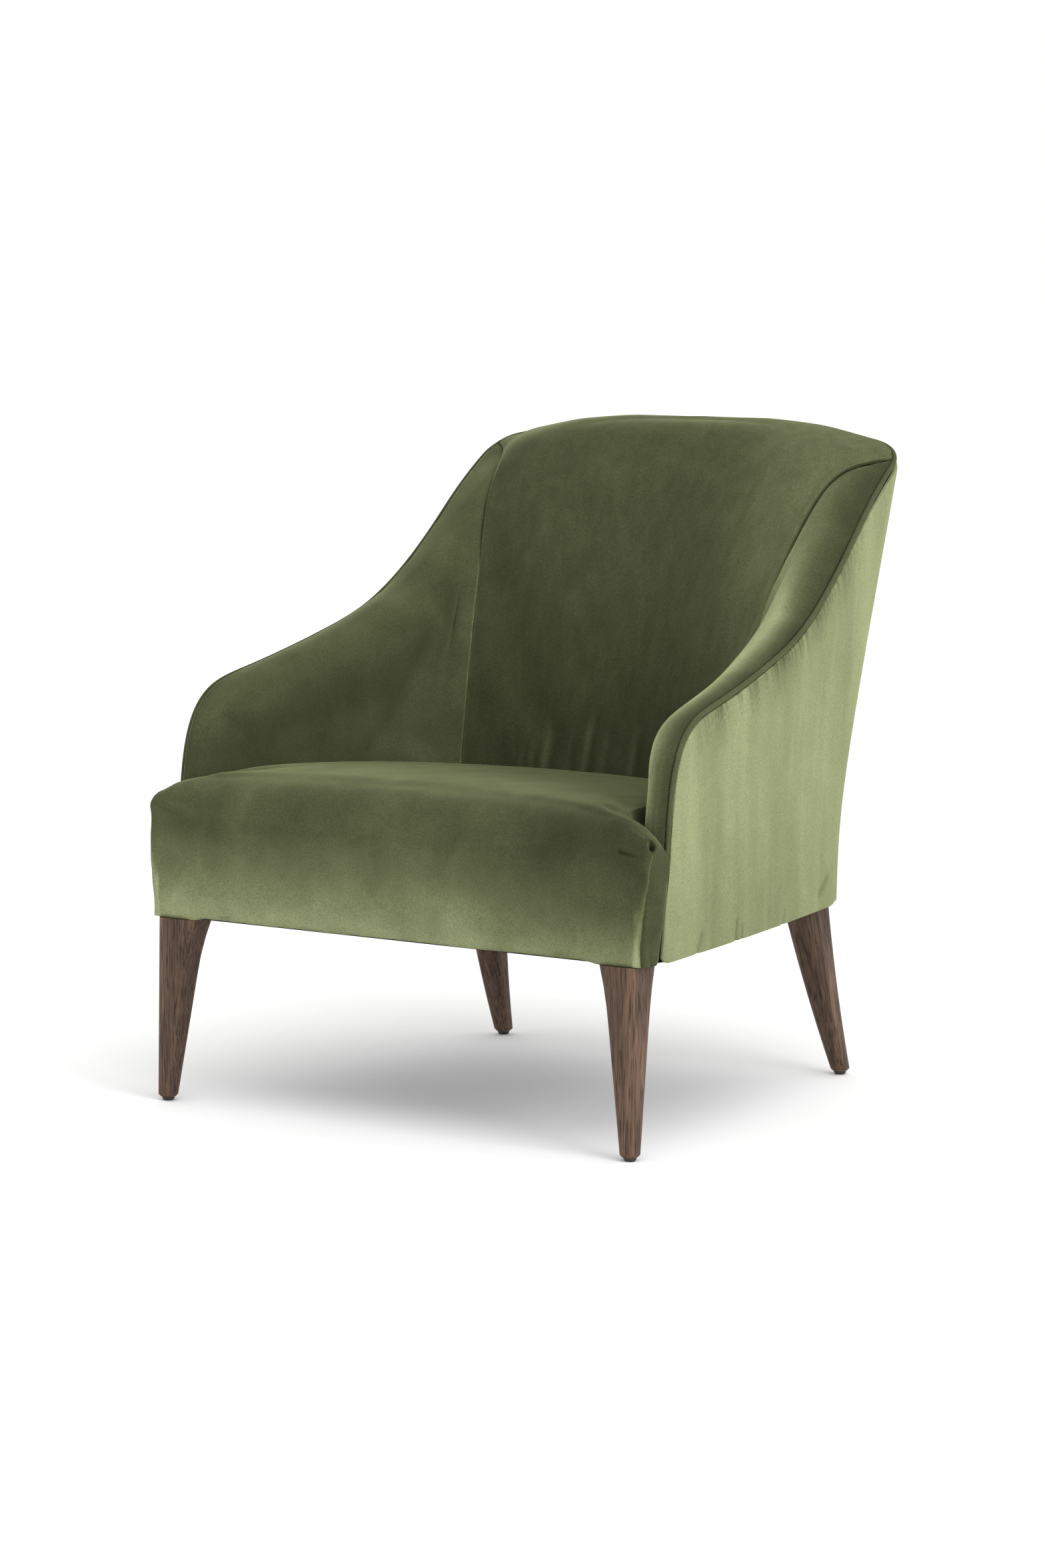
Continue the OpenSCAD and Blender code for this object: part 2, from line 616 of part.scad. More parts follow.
function wire_ring(k) =
    let (d = unit(wire_pt(min(wire_last, k + 0.5)) - wire_pt(max(0, k - 0.5))), u = unit(cross(d, [0, 0, 1])),
        v = cross(u, d))
    [for (i = [0:wire_sides - 1]) let (a = 360 * i / wire_sides)
        wire_pt(k) + wire_d / 2 * (cos(a) * u + sin(a) * v)];
module seat_springs() {
    color(steel)
        at_body()
            for (x = spring_xs)
                translate([x, 0, 0]) tube([for (k = [0:wire_last]) wire_ring(k)]);
}
clip_len = 14;
module clip(turn) {
    rotate([0, 0, turn])
        translate([-clip_w / 2, -clip_len / 2, rail_top])
            difference() {
                cube([clip_w, clip_len, clip_gap + 2 * clip_t]);
                translate([-1, clip_t, clip_t]) cube([clip_w + 2, clip_len, clip_gap]);
            }
}
module spring_clips() {
    color(steel)
        at_body()
            for (x = spring_xs) {
                translate([x, spring_s0 + 2, 0]) clip(0);
                translate([x, spring_s1 - 2, 0]) clip(180);
            }
}
tie_d = 3;
tie_half = spring_span / 2 + 30;
function tie_z(s) =
    wire_z + spring_rise * (1 - pow(2 * (s - spring_s0) / (spring_s1 - spring_s0) - 1, 2))
        - wire_d / 2 - tie_d / 2 - gap;
module spring_ties() {
    color(steel)
        at_body()
            for (s = [mix(spring_s0, spring_s1, 1 / 3), mix(spring_s0, spring_s1, 2 / 3)])
                translate([-tie_half, s, tie_z(s)]) rotate([0, 90, 0])
                    cylinder(d = tie_d, h = 2 * tie_half, $fn = 16);
}

// Deck pad and foam inside the seat cover.
pad_t = 6;
pad_z = wire_z + spring_rise + wire_d / 2 + gap;
foam_z = pad_z + pad_t + gap;
foam_gap = 1.3;
foam_inset = cover_t + foam_gap;
pad_xs = [for (k = [0.97, 0.9, 0.8, 0.66, 0.5, 0.33, 0.16]) k * (seat_in - foam_inset)];
module deck_pad() {
    right = [for (x = pad_xs) [x, well_s(x + foam_inset) - foam_inset - 4]];
    color(black)
        at_body()
            translate([0, 0, pad_z])
                linear_extrude(pad_t)
                    polygon([[-pad_xs[0], front_s], [pad_xs[0], front_s], each right,
                        each [for (i = [len(right) - 1:-1:0]) [-right[i][0], right[i][1]]]]);
}
foam_slices = [for (i = [0:len(slice_half) - 3]) slice_half[i]];
function foam_row(x) = let (row = slice_at(x, foam_inset)) [for (j = [4:len(row) - 2]) row[j]];
module seat_foam() {
    top = [for (x = foam_slices) foam_row(x)];
    low = [for (row = top) [for (p = row) [p[0], p[1], foam_z]]];
    color(foam)
        at_body()
            slab(both_sides(top), both_sides(low));
}

// Foam of the arms and the back: from the cover out to the plywood or to the webbing.
web_t = 2;
foam_ws = [1, 1.12, 1.25, 1.4, 1.55, 1.7, 1.85, 2];
function web_front(z) = post_front(z) - web_t - 2 * gap;
function foam_reach(p, d) =
    let (room_s = d[1] > 0.05 ? (web_front(p[2]) - gap - p[1]) / d[1] : 1000,
        near = side_x(p[1], rail_depth) - p[0], rate = d[0] + d[1] * tan(side_turn))
    min(room_s, rate > 0.05 ? near / rate : 1000);
function foam_back(r, w) =
    let (p = padded_pt(r, w, foam_inset), d = -roll_dir(r)) p + max(1, foam_reach(p, d)) * d;
function foam_front_grid(rs) = [for (r = rs) [for (w = foam_ws) padded_pt(r, w, foam_inset)]];
function foam_back_grid(rs) = [for (r = rs) [for (w = foam_ws) foam_back(r, w)]];
arm_foam_rs = [1.05, 1.33, 1.67, 2, 2.3, 2.6, 2.9, 3.2, 3.5, 3.8, 4.05, seam_r];
back_foam_rs = [4.34, 4.6, 5, 5.33, 5.67, 6];
module arm_foam() {
    slab(foam_front_grid(arm_foam_rs), foam_back_grid(arm_foam_rs));
}
module arm_foam_left() {
    color(foam) at_body() arm_foam();
}
module arm_foam_right() {
    color(foam) at_body() right_side() arm_foam();
}
module back_foam() {
    color(foam)
        at_body()
            slab(across(foam_front_grid(back_foam_rs)), across(foam_back_grid(back_foam_rs)));
}
web_w = 50;
web_zs = [150, 215, 280, 345, 410];
module back_webbing() {
    color(black)
        at_body()
            leaning()
                for (z = web_zs)
                    translate([-rear_block_x1 + 6, rear_block_s1 - post_d - web_t - gap, z])
                        cube([2 * rear_block_x1 - 12, web_t, web_w]);
}

// Dust cover under the frame.
dust_t = 1.2;
module dust_cover() {
    front = 0.1 * base_d;
    rear = 0.9 * base_d;
    edge = ply_depth + 1;
    half = [[front_block_x1 - 4, front_s + 1], [side_x(front, edge), front], [side_x(rear, edge), rear],
        [rear_w / 2 - 0.35 * corner_r, base_d - 0.4 * corner_r], [rear_w / 2 - 0.8 * corner_r, rear_wall_s - 1]];
    color(black)
        at_body()
            translate([0, 0, rail_z - gap - dust_t])
                difference() {
                    linear_extrude(dust_t)
                        polygon([each half, each [for (i = [4:-1:0]) [-half[i][0], half[i][1]]]]);
                    for (side = [0, 1]) mirror([side, 0, 0]) bolt_bores();
                }
}

// Legs: rounded squares that shrink along a gently curved axis.
leg_rings = 9;
leg_corner = 5;
top_round = 15;
foot_round = 8;
foot_chamfer = 3;
function rounded_square(w, r) = [for (c = [0:3], i = [0:leg_corner - 1])
    let (a = 90 * c + 90 * i / (leg_corner - 1), m = w / 2 - r)
    [m * (c == 0 || c == 3 ? 1 : -1) + r * cos(a), m * (c < 2 ? 1 : -1) + r * sin(a)]];
function leg_axis(f, dx, ds, curve) = [dx * f, ds * mix(f, f * f, curve)];
flare_part = 0.3;
module leg(dx, ds, curve, flare) {
    low = glide_h;
    rings = [for (i = [0:leg_rings])
        let (f = 1 - i / leg_rings, z = mix(leg_h, low + foot_chamfer, f), c = leg_axis(f, dx, ds, curve),
            more = flare * pow(max(0, 1 - f / flare_part), 2), w = mix(leg_top_w, leg_foot_w, f) + more)
        [for (p = rounded_square(w, mix(top_round, foot_round, f)))
            [c[0] + p[0] - more / 2, c[1] + p[1] + more / 2, z]]];
    foot = [for (p = rounded_square(leg_foot_w - 2 * foot_chamfer, foot_round - foot_chamfer))
        [dx + p[0], ds + p[1], low]];
    difference() {
        tube([for (i = [leg_rings:-1:0]) rings[i], foot]);
        translate([0, 0, leg_h - bolt_in]) cylinder(d = bolt_d + 2 * gap, h = bolt_in + 1, $fn = 32);
        translate([dx, ds, 0]) cylinder(d = nail_d + gap, h = glide_h + nail_len + 1, $fn = 16);
    }
}
nail_d = 2.4;
nail_len = 10;
module at_leg(p) {
    translate([p[0], p[1] - overall_d / 2, 0]) children();
}
front_place = [front_leg_x, front_leg_s];
rear_place = [rear_leg_x, rear_leg_s];
module leg_front_left() {
    color(walnut) at_leg(front_place) leg(splay_x, -front_splay, 0, leg_flare);
}
module leg_front_right() {
    color(walnut) right_side() at_leg(front_place) leg(splay_x, -front_splay, 0, leg_flare);
}
module leg_rear_left() {
    color(walnut) at_leg(rear_place) leg(splay_x, rear_sweep, 0.25, 0);
}
module leg_rear_right() {
    color(walnut) right_side() at_leg(rear_place) leg(splay_x, rear_sweep, 0.25, 0);
}
glide_d = 15;
module glide() {
    cylinder(d1 = glide_d - 3, d2 = glide_d, h = glide_h / 2, $fn = 32);
    translate([0, 0, glide_h / 2]) cylinder(d = glide_d, h = glide_h / 2, $fn = 32);
    cylinder(d = nail_d, h = glide_h + nail_len, $fn = 16);
}
module leg_glides() {
    color(black)
        for (side = [0, 1])
            mirror([side, 0, 0]) {
                at_leg(front_place + [splay_x, -front_splay]) glide();
                at_leg(rear_place + [splay_x, rear_sweep]) glide();
            }
}
module hanger_bolts() {
    color(steel)
        for (side = [0, 1])
            mirror([side, 0, 0])
                for (p = bolt_places)
                    at_leg(p) translate([0, 0, leg_h - bolt_in + 1]) cylinder(d = bolt_d, h = 2 * bolt_in - 2, $fn = 32);
}

leg_front_left();
leg_front_right();
leg_rear_left();
leg_rear_right();
leg_glides();
hanger_bolts();
corner_blocks();
front_rail();
rear_rail();
side_rail_left();
side_rail_right();
arm_post_left();
arm_post_right();
arm_panel_left();
arm_panel_right();
back_post_left();
back_post_right();
crest_rail();
lower_back_rail();
arm_liner_left();
arm_liner_right();
frame_screws();
seat_springs();
spring_clips();
spring_ties();
deck_pad();
seat_foam();
back_webbing();
back_foam();
arm_foam_left();
arm_foam_right();
dust_cover();
seat_cover();
inside_back();
inside_arm_left();
inside_arm_right();
outside_arm_left();
outside_arm_right();
outside_back();
welt_cord();
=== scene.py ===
"""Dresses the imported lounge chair: covers, piping, padding, legs, frame, lights and camera."""
import math

import bmesh
import bpy
from mathutils import Matrix, Vector, kdtree, noise


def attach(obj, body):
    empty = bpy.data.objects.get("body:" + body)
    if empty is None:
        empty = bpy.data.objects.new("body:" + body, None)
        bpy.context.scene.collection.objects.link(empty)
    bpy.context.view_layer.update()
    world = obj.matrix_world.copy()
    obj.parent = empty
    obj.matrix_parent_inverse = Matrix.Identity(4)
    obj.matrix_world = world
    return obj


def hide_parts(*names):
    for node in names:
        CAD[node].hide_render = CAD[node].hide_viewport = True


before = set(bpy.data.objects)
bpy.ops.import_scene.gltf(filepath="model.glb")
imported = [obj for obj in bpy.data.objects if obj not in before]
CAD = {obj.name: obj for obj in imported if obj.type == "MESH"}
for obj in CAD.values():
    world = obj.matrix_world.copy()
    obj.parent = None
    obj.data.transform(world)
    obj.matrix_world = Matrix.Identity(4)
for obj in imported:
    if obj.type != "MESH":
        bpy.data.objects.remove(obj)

bl_info = {
    "name": "Lounge chair upholstery",
    "version": (1, 0, 0),
    "blender": (4, 5, 0),
    "location": "3D View > Sidebar > Lounge Chair",
    "description": "Velvet covers, piping, padding and legs for a tight upholstered lounge chair",
    "category": "Add Mesh",
}

# In metres and radians, in the frame that the CAD nodes use.
HEM_HEIGHT = 0.22
REAR_LEG_SWEEP = 0.068
CAMERA_PLACE = (3.3577, -5.2093, 1.1488)
CAMERA_SWING, CAMERA_PITCH, CAMERA_ROLL = 0.5785, 0.1254, 0.0059
CAMERA_LENS_MM, CAMERA_SENSOR_MM = 119.32, 36

# How a pattern is squeezed so that its streaks run along an axis.
ALONG_X, ALONG_Y, ALONG_Z = (0.12, 1.0, 1.0), (1.0, 0.12, 1.0), (1.0, 1.0, 0.12)


class LoungeChairSettings(bpy.types.PropertyGroup):
    """Sizes and colours of the chair's coverings."""

    # The velvet's tone where the painted light is palest; the attribute of painted light and shade
    # darkens it elsewhere
    velvet_color: bpy.props.FloatVectorProperty(
        name="Velvet colour", description="Colour of the pile where it is brushed to its palest",
        default=(0.272, 0.30, 0.158), size=3, min=0, max=1, subtype="COLOR")
    sheen_color: bpy.props.FloatVectorProperty(
        name="Sheen colour", description="Colour of the pile seen from its side",
        default=(0.60, 0.68, 0.33), size=3, min=0, max=1, subtype="COLOR")
    wood_color: bpy.props.FloatVectorProperty(
        name="Leg colour", description="Stain of the legs",
        default=(0.093, 0.056, 0.036), size=3, min=0, max=1, subtype="COLOR")
    pucker_depth: bpy.props.FloatProperty(
        name="Pucker depth", description="How deep the outside panels pucker beside the piping",
        default=0.0022, min=0, max=0.004, unit="LENGTH", subtype="DISTANCE")
    floor_color: bpy.props.FloatVectorProperty(
        name="Backdrop colour", description="Colour of the floor and backdrop",
        default=(0.95, 0.95, 0.95), size=3, min=0, max=1, subtype="COLOR")


def settings():
    return bpy.context.scene.lounge_chair


def smooth(low, high, value):
    """0 below low, 1 above high, and an even curve between."""
    t = max(0.0, min(1.0, (value - low) / (high - low)))
    return t * t * (3 - 2 * t)


def bell(away, width):
    """1 where away is 0, and an even fall to almost nothing at twice width."""
    return math.exp(-(away / width) ** 2)


# ---------------------------------------------------------------- materials


class Nodes:
    """A material's node tree, with short calls for the nodes used here."""

    def __init__(self, name):
        self.material = bpy.data.materials.get(name) or bpy.data.materials.new(name)
        self.material.use_nodes = True
        self.tree = self.material.node_tree
        self.tree.nodes.clear()
        self.shader = self.add("ShaderNodeBsdfPrincipled")
        output = self.add("ShaderNodeOutputMaterial")
        self.link(self.shader.outputs["BSDF"], output.inputs["Surface"])
        self.place = self.add("ShaderNodeTexCoord").outputs["Object"]

    def add(self, kind, **values):
        node = self.tree.nodes.new(kind)
        for key, value in values.items():
            setattr(node, key, value)
        return node

    def link(self, source, target):
        self.tree.links.new(source, target)

    def fill(self, socket, value):
        """Links another node's output to a socket, or gives it a plain value."""
        if isinstance(value, bpy.types.NodeSocket):
            self.link(value, socket)
        else:
            socket.default_value = value

    def stretched(self, scale, turn=(0, 0, 0)):
        node = self.add("ShaderNodeMapping")
        node.inputs["Scale"].default_value = scale
        node.inputs["Rotation"].default_value = turn
        self.link(self.place, node.inputs["Vector"])
        return node.outputs["Vector"]

    def noise(self, scale, detail=3.0, rough=0.5, place=None, warp=0.0):
        node = self.add("ShaderNodeTexNoise")
        node.inputs["Scale"].default_value = scale
        node.inputs["Detail"].default_value = detail
        node.inputs["Roughness"].default_value = rough
        node.inputs["Distortion"].default_value = warp
        self.link(place or self.place, node.inputs["Vector"])
        return node.outputs["Fac"]

    def ramp(self, value, *stops):
        """Colours or greys by value, from stops of a position and a colour or grey."""
        node = self.add("ShaderNodeValToRGB")
        marks = node.color_ramp.elements
        while len(marks) < len(stops):
            marks.new(0.5)
        for mark, (at, color) in zip(marks, stops):
            mark.position = at
            mark.color = (*color, 1) if hasattr(color, "__len__") else (color, color, color, 1)
        self.link(value, node.inputs["Fac"])
        return node.outputs["Color"]

    def math(self, kind, first, second=0.0):
        node = self.add("ShaderNodeMath", operation=kind)
        self.fill(node.inputs[0], first)
        self.fill(node.inputs[1], second)
        return node.outputs[0]

    def scaled(self, value, amount, start):
        """value times amount, plus start."""
        return self.math("ADD", self.math("MULTIPLY", value, amount), start)

    def swung(self, value, amount):
        """A pattern from 0 to 1, moved to lie evenly about 0, then times amount."""
        return self.math("MULTIPLY", self.math("SUBTRACT", value, 0.5), amount)

    def darkened(self, color, shade):
        """color times shade, for two outputs of the tree."""
        node = self.add("ShaderNodeMix", data_type="RGBA", blend_type="MULTIPLY")
        self.fill(node.inputs["Factor"], 1.0)
        self.fill(node.inputs["A"], color)
        self.fill(node.inputs["B"], shade)
        return node.outputs["Result"]

    def bump(self, height, depth, strength=1.0, after=None):
        node = self.add("ShaderNodeBump")
        node.inputs["Strength"].default_value = strength
        node.inputs["Distance"].default_value = depth
        self.link(height, node.inputs["Height"])
        if after:
            self.link(after, node.inputs["Normal"])
        return node.outputs["Normal"]

    def set(self, **values):
        """Fills the shader's inputs, with _ for each space in an input's name."""
        for key, value in values.items():
            self.fill(self.shader.inputs[key.replace("_", " ")], value)


def velvet(name, sheen, patches, streaks, fine=40.0):
    """Cut-pile velvet, with brushed patches and fine upright streaks.

    The point attribute it reads holds painted light and shade, with some of the pile's own tone,
    from 0, dark, to 1, pale."""
    made = Nodes(name)
    pale = Vector(settings().velvet_color)
    # Per-point painted light and shade, with a little of the pile's own tone
    pile_and_light = made.add("ShaderNodeAttribute", attribute_name="pile_and_light").outputs["Fac"]
    brushed = made.noise(18.0, 5.0, 0.6, warp=0.5)
    lines = made.noise(fine, 3.0, 0.6, made.stretched(ALONG_Z), 0.2)
    pile = made.noise(480.0, 3.0, 0.75)
    # The painted light and shade, with brushed patches and upright streaks of the pile's own tone
    # added
    lay = made.math("ADD", pile_and_light, made.swung(brushed, patches * 2.5))
    lay = made.math("ADD", lay, made.swung(lines, streaks * 2.5))
    stops = []
    for at in (0.0, 0.2, 0.4, 0.6, 0.8, 1.0):
        red, green, blue = pale * 0.1 ** (1 - at)
        stops.append((at, (red, green, blue * (0.8 + 0.2 * at))))
    grain = made.ramp(pile, (0.35, 0.80), (0.65, 1.17))
    made.set(
        Base_Color=made.darkened(made.ramp(lay, *stops), grain),
        Roughness=0.9,
        Specular_IOR_Level=0.1,
        Sheen_Weight=sheen,
        Sheen_Roughness=0.3,
        Sheen_Tint=(*settings().sheen_color, 1),
        Normal=made.bump(pile, 0.0003, 0.4, made.bump(brushed, 0.0015, 0.15)))
    return made.material


def walnut(name, rake=0.0):
    """Stained walnut: dark pores, fibres and slow bands along the leg, turned back by rake."""
    made = Nodes(name)
    base = Vector(settings().wood_color)
    turned = made.add("ShaderNodeMapping")
    turned.inputs["Rotation"].default_value = (rake, 0, 0)
    made.link(made.place, turned.inputs["Vector"])

    def along(squeeze):
        stretch = made.add("ShaderNodeMapping")
        stretch.inputs["Scale"].default_value = (1, 1, squeeze)
        made.link(turned.outputs["Vector"], stretch.inputs["Vector"])
        return stretch.outputs["Vector"]

    bands = made.noise(26.0, 4.0, 0.6, along(0.12), 1.2)
    fibres = made.noise(400.0, 3.0, 0.65, along(0.04))
    pores = made.noise(620.0, 1.0, 0.5, along(0.05))
    color = made.ramp(bands, (0.3, base * 0.62), (0.5, base), (0.7, base * 1.6))
    streaks = made.ramp(fibres, (0.36, 0.55), (0.62, 1.28))
    marks = made.ramp(pores, (0.34, 0.38), (0.44, 1.0))
    made.set(
        Base_Color=made.darkened(made.darkened(color, streaks), marks),
        Roughness=made.scaled(fibres, 0.25, 0.42),
        Specular_IOR_Level=0.22,
        Normal=made.bump(pores, 0.0004, 0.5, made.bump(fibres, 0.0003, 0.4)))
    return made.material


def raw_wood(name, color, stretch):
    """Sawn frame timber or plywood: pale, dry, with fibres along the piece."""
    made = Nodes(name)
    base = Vector(color)
    bands = made.noise(14.0, 4.0, 0.6, made.stretched(stretch), 1.2)
    fibres = made.noise(190.0, 3.0, 0.7, made.stretched(stretch))
    tone = made.ramp(bands, (0.3, base * 0.78), (0.7, base * 1.15))
    made.set(
        Base_Color=made.darkened(tone, made.ramp(fibres, (0.3, 0.8), (0.7, 1.1))),
        Roughness=made.scaled(fibres, 0.2, 0.65),
        Normal=made.bump(fibres, 0.0004, 0.4))
    return made.material


def drawn_steel(name):
    """Drawn or plated steel with faint marks of handling."""
    made = Nodes(name)
    base = Vector((0.36, 0.36, 0.37))
    marks = made.noise(70.0, 4.0, 0.6)
    made.set(
        Base_Color=made.ramp(marks, (0.3, base * 0.75), (0.7, base * 1.2)),
        Roughness=made.scaled(marks, 0.2, 0.25),
        Metallic=1.0,
        Normal=made.bump(made.noise(600.0), 0.0001, 0.3))
    return made.material


def open_cell_foam(name, color):
    """Cut foam: open cells under a millimetre across, slightly yellowed in patches."""
    made = Nodes(name)
    base = Vector(color)
    cells = made.add("ShaderNodeTexVoronoi")
    cells.inputs["Scale"].default_value = 620.0
    made.link(made.place, cells.inputs["Vector"])
    age = made.noise(8.0, 3.0, 0.5)
    tone = made.ramp(age, (0.3, base * 0.85), (0.7, base * 1.05))
    walls = cells.outputs["Distance"]
    made.set(
        Base_Color=made.darkened(tone, made.ramp(walls, (0.1, 0.6), (0.6, 1.05))),
        Roughness=0.95,
        Normal=made.bump(walls, 0.0006, 0.6))
    return made.material


def woven(name, color, pitch):
    """Plain weave on two crossing sets of threads, pitch metres apart."""
    made = Nodes(name)
    base = Vector(color)
    one_wave = 0.3142  # the wave texture's scale for waves a metre long
    waves = []
    for turn in ((0, 0, 0), (0, 0, math.pi / 2)):
        wave = made.add("ShaderNodeTexWave")
        wave.inputs["Scale"].default_value = one_wave / pitch
        wave.inputs["Distortion"].default_value = 0.6
        wave.inputs["Detail"].default_value = 1.0
        made.link(made.stretched((1, 1, 1), turn), wave.inputs["Vector"])
        waves.append(wave.outputs["Fac"])
    threads = made.math("MULTIPLY", waves[0], waves[1])
    tone = made.ramp(made.noise(11.0), (0.3, base * 0.85), (0.7, base * 1.15))
    made.set(
        Base_Color=made.darkened(tone, made.ramp(threads, (0.0, 0.55), (0.7, 1.15))),
        Roughness=0.9,
        Sheen_Weight=0.2,
        Normal=made.bump(threads, 0.0003, 0.6))
    return made.material


def moulded(name, color):
    """Moulded plastic with a fine satin texture."""
    made = Nodes(name)
    base = Vector(color)
    marks = made.noise(45.0, 4.0, 0.6)
    made.set(
        Base_Color=made.ramp(marks, (0.3, base * 0.8), (0.7, base * 1.3)),
        Roughness=made.scaled(marks, 0.2, 0.4),
        Normal=made.bump(made.noise(900.0), 0.0001, 0.3))
    return made.material


# ---------------------------------------------------------------- shaping


def only(piece):
    """Leaves one object selected and active."""
    bpy.ops.object.select_all(action="DESELECT")
    piece.select_set(True)
    bpy.context.view_layer.objects.active = piece


def copy_of(node, name, creased=math.radians(72), sitter=None):
    """A CAD node's mesh as a new piece of quads, its sharp outer edges creased.

    Edges that face the sitter, and inner edges, stay uncreased and so come out round."""
    mesh = CAD[node].data.copy()
    piece = bpy.data.objects.new(name, mesh)
    bpy.context.scene.collection.objects.link(piece)
    only(piece)
    bpy.ops.object.mode_set(mode="EDIT")
    bpy.ops.mesh.select_all(action="SELECT")
    bpy.ops.mesh.remove_doubles(threshold=0.00002)
    bpy.ops.mesh.normals_make_consistent(inside=False)
    bpy.ops.mesh.tris_convert_to_quads(
        face_threshold=math.radians(35), shape_threshold=math.radians(80))
    bpy.ops.mesh.select_all(action="DESELECT")
    bpy.ops.mesh.edges_select_sharp(sharpness=creased)
    shape = bmesh.from_edit_mesh(mesh)
    for edge in shape.edges:
        if not (edge.select and edge.is_manifold):
            continue
        shown = sitter and all(
            face.normal.dot((sitter - face.calc_center_median()).normalized()) > 0.15
            for face in edge.link_faces)
        if shown or not edge.is_convex:
            edge.select = False
    bmesh.update_edit_mesh(mesh)
    bpy.ops.transform.edge_crease(value=0.75)
    bpy.ops.object.mode_set(mode="OBJECT")
    return piece


def finish_modifier(piece, name):
    only(piece)
    bpy.ops.object.modifier_apply(modifier=name)


def subdivide(piece, levels):
    only(piece)
    made = piece.modifiers.new("Subdivision", "SUBSURF")
    made.levels = levels
    made.render_levels = levels
    finish_modifier(piece, made.name)


def smooth_faces(piece):
    only(piece)
    bpy.ops.object.shade_smooth()


def move_points(piece, move):
    """Shifts each point by what move gives for its place and normal."""
    mesh = piece.data
    shifts = [move(v.co.copy(), v.normal.copy()) for v in mesh.vertices]
    for vertex, shift in zip(mesh.vertices, shifts):
        vertex.co += shift
    mesh.update()


def soften(piece, times, hollows=False):
    """Evens out the points that aren't on a creased edge, or only fills their hollows."""
    mesh = piece.data
    creases = mesh.attributes.get("crease_edge")
    held = set()
    for edge in mesh.edges:
        if creases and creases.data[edge.index].value > 0:
            held.update(edge.vertices)
    beside = [[] for _ in mesh.vertices]
    for edge in mesh.edges:
        a, b = edge.vertices
        beside[a].append(b)
        beside[b].append(a)
    for _ in range(times):
        places = [v.co.copy() for v in mesh.vertices]
        facing = [v.normal.copy() for v in mesh.vertices]
        for index, near in enumerate(beside):
            if index not in held and near:
                middle = sum((places[n] for n in near), Vector()) / len(near)
                shift = (middle - places[index]) * 0.5
                if not hollows or shift.dot(facing[index]) > 0:
                    mesh.vertices[index].co = places[index] + shift
        mesh.update()


def puff(piece, sitter, cap=0.003):
    """Blows up the skin that faces the sitter with a cloth simulation, by cap at most.

    It is held along its sewn edges and where it faces away."""
    mesh = piece.data
    rest = [v.co.copy() for v in mesh.vertices]
    creases = mesh.attributes.get("crease_edge")
    sewn = kdtree.KDTree(2 * len(mesh.edges))
    for edge in mesh.edges:
        if creases and creases.data[edge.index].value > 0:
            for index in edge.vertices:
                sewn.insert(mesh.vertices[index].co, index)
    sewn.balance()
    held = piece.vertex_groups.new(name="held")
    for v in mesh.vertices:
        facing = v.normal.dot((sitter - v.co).normalized())
        near = sewn.find(v.co)[2] if creases else 1.0
        if facing < 0.05 or near < 0.006:
            held.add([v.index], 1.0, "REPLACE")
    only(piece)
    cloth = piece.modifiers.new("Cloth", "CLOTH")
    cloth.settings.quality = 4
    cloth.settings.mass = 0.3
    cloth.settings.tension_stiffness = 25
    cloth.settings.compression_stiffness = 25
    cloth.settings.bending_stiffness = 4
    cloth.settings.use_pressure = True
    cloth.settings.uniform_pressure_force = 3.0
    cloth.settings.vertex_group_mass = "held"
    cloth.settings.effector_weights.gravity = 0
    cloth.collision_settings.use_collision = False
    scene = bpy.context.scene
    frames = 20
    for step in range(1, frames + 1):
        scene.frame_set(step)
    finish_modifier(piece, cloth.name)
    scene.frame_set(1)
    piece.vertex_groups.clear()
    for v, start in zip(piece.data.vertices, rest):
        shift = v.co - start
        if shift.length > cap:
            v.co = start + shift * (cap / shift.length)
    piece.data.update()


def store_pile_and_light(piece, pile_and_light):
    """Keeps, at each point, the painted light and shade, with the pile's own tone, that the given
    function gives for its place and normal.
    """
    layer = piece.data.attributes.new("pile_and_light", "FLOAT", "POINT")
    for v in piece.data.vertices:
        layer.data[v.index].value = pile_and_light(v.co, v.normal)


def refine(piece, inside, cuts=2):
    """Splits the faces whose middles are inside the given space."""
    only(piece)
    bpy.ops.object.mode_set(mode="EDIT")
    bpy.ops.mesh.select_mode(type="FACE")
    bpy.ops.mesh.select_all(action="DESELECT")
    bpy.ops.object.mode_set(mode="OBJECT")
    for polygon in piece.data.polygons:
        polygon.select = inside(polygon.center)
    bpy.ops.object.mode_set(mode="EDIT")
    bpy.ops.mesh.subdivide(number_cuts=cuts)
    bpy.ops.object.mode_set(mode="OBJECT")


def hump(place, first, last, width):
    """1 on the line from first to last, and an even fall to 0 at about twice width from it."""
    along = last - first
    t = max(0.0, min(1.0, (place - first).dot(along) / along.length_squared))
    away = (place - (first + along * t)).length
    return bell(away, width)


def crown(place):
    """The padding's extra rise along the back's top, for the covers and the piping alike.

    It is highest over the two shoulders, and higher on the sitter's left than on the right."""
    across = abs(place.x)
    rise = (0.0026 + 0.0042 * smooth(0, 0.14, across)) * (1 - smooth(0.16, 0.27, across))
    lean = 0.011 * place.x * (1 - smooth(0.255, 0.280, -place.x))
    rise += lean + 0.003 * smooth(0.270, 0.295, -place.x)
    return Vector((0, 0, rise * smooth(0.66, 0.765, place.z)))


def waver(place, scale, seed=0.0):
    """Smooth noise, from about -1 to 1."""
    x, y, z = place
    return noise.noise(Vector((x * scale + seed, y * scale + 3.1 * seed, z * scale)))


def streaked(line, height, seed=0.0):
    """Smooth noise along a line, that changes with height and seed."""
    return noise.noise(Vector((line, seed, height)))


def dress(piece, material, slot, *nodes):
    """Gives a piece its material, and lets it ride in place of its nodes. Its slot is not used."""
    piece.data.materials.clear()
    piece.data.materials.append(material)
    for polygon in piece.data.polygons:
        polygon.material_index = 0
    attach(piece, "root")
    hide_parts(*nodes)


def repaint(node, material):
    CAD[node].data.materials.clear()
    CAD[node].data.materials.append(material)


# ---------------------------------------------------------------- pieces


